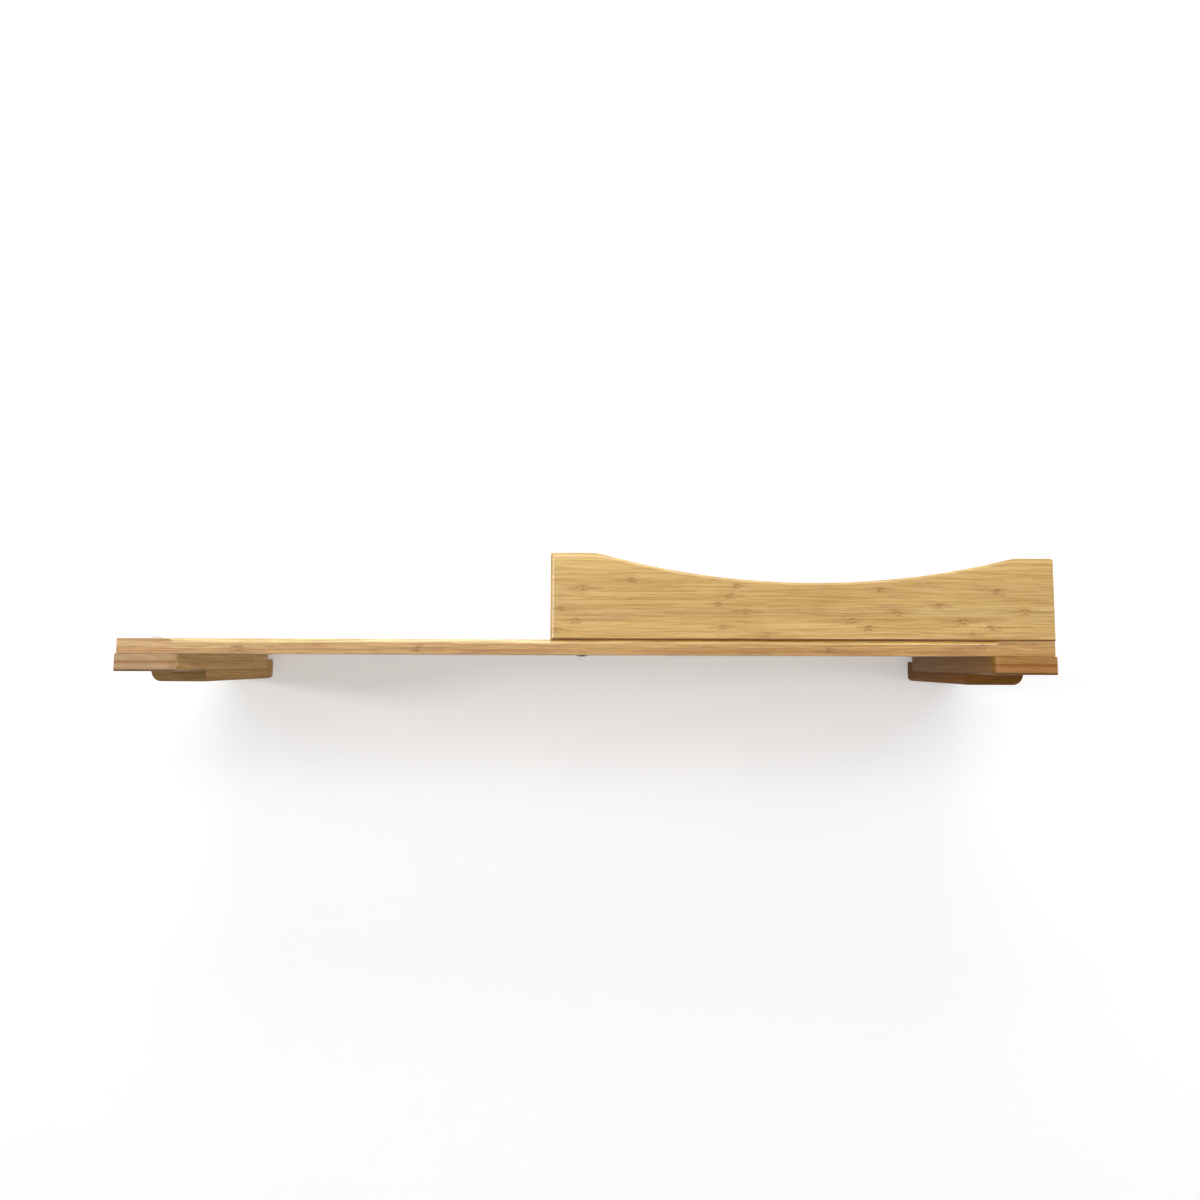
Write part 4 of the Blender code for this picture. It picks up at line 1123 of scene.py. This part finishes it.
def make_floor():
    """A pale plain floor, far below the shelf."""
    bm = bmesh.new()
    place = Matrix.Translation((0, WALL_Y - FLOOR_HALF_SIZE, FLOOR_Z))
    bmesh.ops.create_grid(bm, x_segments=1, y_segments=1, size=FLOOR_HALF_SIZE, matrix=place)
    floor = solid("floor", bm, False)
    material, g, shader = new_material("pale_floor")
    g.feed(shader, {"Base Color": (*FLOOR_COLOUR, 1.0), "Roughness": 0.9, "Specular IOR Level": 0.0})
    floor.data.materials.append(material)


def make_world(strength):
    """Soft even light from all round, with a white background where it is seen."""
    world = bpy.data.worlds.new("studio")
    bpy.context.scene.world = world
    world.use_nodes = True
    g = Graph(world.node_tree)
    shown = g.scaled(seen_rays(g), 1.0 - strength, strength)
    g.feed(world.node_tree.nodes["Background"], {"Color": (1, 1, 1, 1), "Strength": shown})


def area_light(name, location, target, size, power):
    """A soft rectangular lamp that points at a target."""
    data = bpy.data.lights.new(name, "AREA")
    data.shape = "RECTANGLE"
    data.size, data.size_y = size
    data.energy = power
    lamp = bpy.data.objects.new(name, data)
    lamp.location = location
    lamp.rotation_euler = (Vector(target) - Vector(location)).to_track_quat("-Z", "Y").to_euler()
    bpy.context.scene.collection.objects.link(lamp)


def make_camera():
    """The camera that was fitted to the photograph."""
    yaw, pitch, roll = CAMERA_TURN
    data = bpy.data.cameras.new("camera")
    data.sensor_width = SENSOR
    data.lens = FOCAL_PIXELS / IMAGE_SIZE * SENSOR
    data.clip_start = 0.05
    data.clip_end = 50
    camera = bpy.data.objects.new("camera", data)
    bpy.context.scene.collection.objects.link(camera)
    forward = Vector((math.sin(yaw) * math.cos(pitch), math.cos(yaw) * math.cos(pitch), math.sin(pitch)))
    right = Vector((math.cos(yaw), -math.sin(yaw), 0.0))
    up = right.cross(forward)
    rolled = right * math.cos(roll) + up * math.sin(roll)
    above = up * math.cos(roll) - right * math.sin(roll)
    columns = Matrix((rolled, above, -forward)).transposed()
    camera.matrix_world = Matrix.Translation(CAMERA_PLACE) @ columns.to_4x4()
    bpy.context.scene.camera = camera


# ---------------------------------------------------------------- the whole scene


def dress_hidden(nodes, steel, zinc, beech):
    """Materials for the CAD nodes that stay: the fasteners and dowels inside the boards."""
    finishes = {"insert": zinc, "dowel": beech, "lap_screw": steel}
    for name, node in nodes.items():
        for word, material in finishes.items():
            if word in name:
                for slot in node.material_slots:
                    slot.material = material


def main():
    """Build the pieces, the stage, the light and the camera."""
    # Below, the foot tints paint shade under curving rims, the right-half tints are partly painted shade, and
    # the plank's pale nose is a painted highlight
    rail_bamboo = bamboo(
        "bamboo_rail_finish", (0, 2, 1), 0.0098, 0.018, RAIL_TONES, RAIL_MARKS, RAIL_FRONT + MARKS_DEPTH,
        gloss=(0.25, 0.60, 0.25, 1.6), red_stain=0.32, foot=(0.42, 0.28, 0.20))
    plank_bamboo = bamboo(
        "bamboo_plank_finish", (0, 1, 2), 0.0102, 0.0060, PLANK_TONES, PLANK_MARKS, PLANK_FRONT + MARKS_DEPTH,
        gloss=(0.20, 1.0, 0.15, 1.65), right_tint_and_shade=(0.97, 0.91, 0.62), red_stain=0.50,
        plies=PLANK_PLIES, painted_highlight=(1.36, 1.58, 1.72))
    arm_bamboo = bamboo(
        "bamboo_arm_finish", (1, 0, 2), 0.0110, 0.0098, ARM_TONES, seam_at=ARM_SEAM, end_dark=0.98,
        gloss=(0.12, 0.25, 0.25, 1.5), right_tint_and_shade=(0.84, 0.64, 0.34), knuckles=0.15, bands=ARM_BANDS)
    block_bamboo = bamboo(
        "bamboo_block_finish", (1, 0, 2), 0.0110, 0.0070, BLOCK_TONES, end_dark=0.82,
        gloss=(0.08, 0.0, 0.3, 1.5), right_tint_and_shade=(0.66, 0.45, 0.21), knuckles=0.15, foot=(0.76, 0.76, 0.76))
    beech = bamboo("beech_finish", (2, 0, 1), 0.0200, 0.0200, BEECH_TONES)
    steel = metal("bright_steel_finish", (0.56, 0.56, 0.57), 0.26)
    dark_steel = metal("dark_steel_finish", (0.10, 0.10, 0.11), 0.40)
    zinc = metal("zinc_steel_finish", (0.55, 0.50, 0.40), 0.34)

    make_plank(plank_bamboo)
    make_rail(rail_bamboo)
    for side, sign in SIDES:
        make_arm(side, sign, arm_bamboo)
        make_block(side, sign, block_bamboo)
        make_plate(side, sign, block_bamboo)
    make_fasteners(steel, dark_steel, zinc)
    dress_hidden(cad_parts, steel, zinc, beech)

    make_wall()
    make_floor()
    make_world(WORLD_LIGHT)
    for lamp in LAMPS:
        area_light(*lamp)
    make_camera()
    bpy.context.scene.view_settings.view_transform = "Standard"


main()
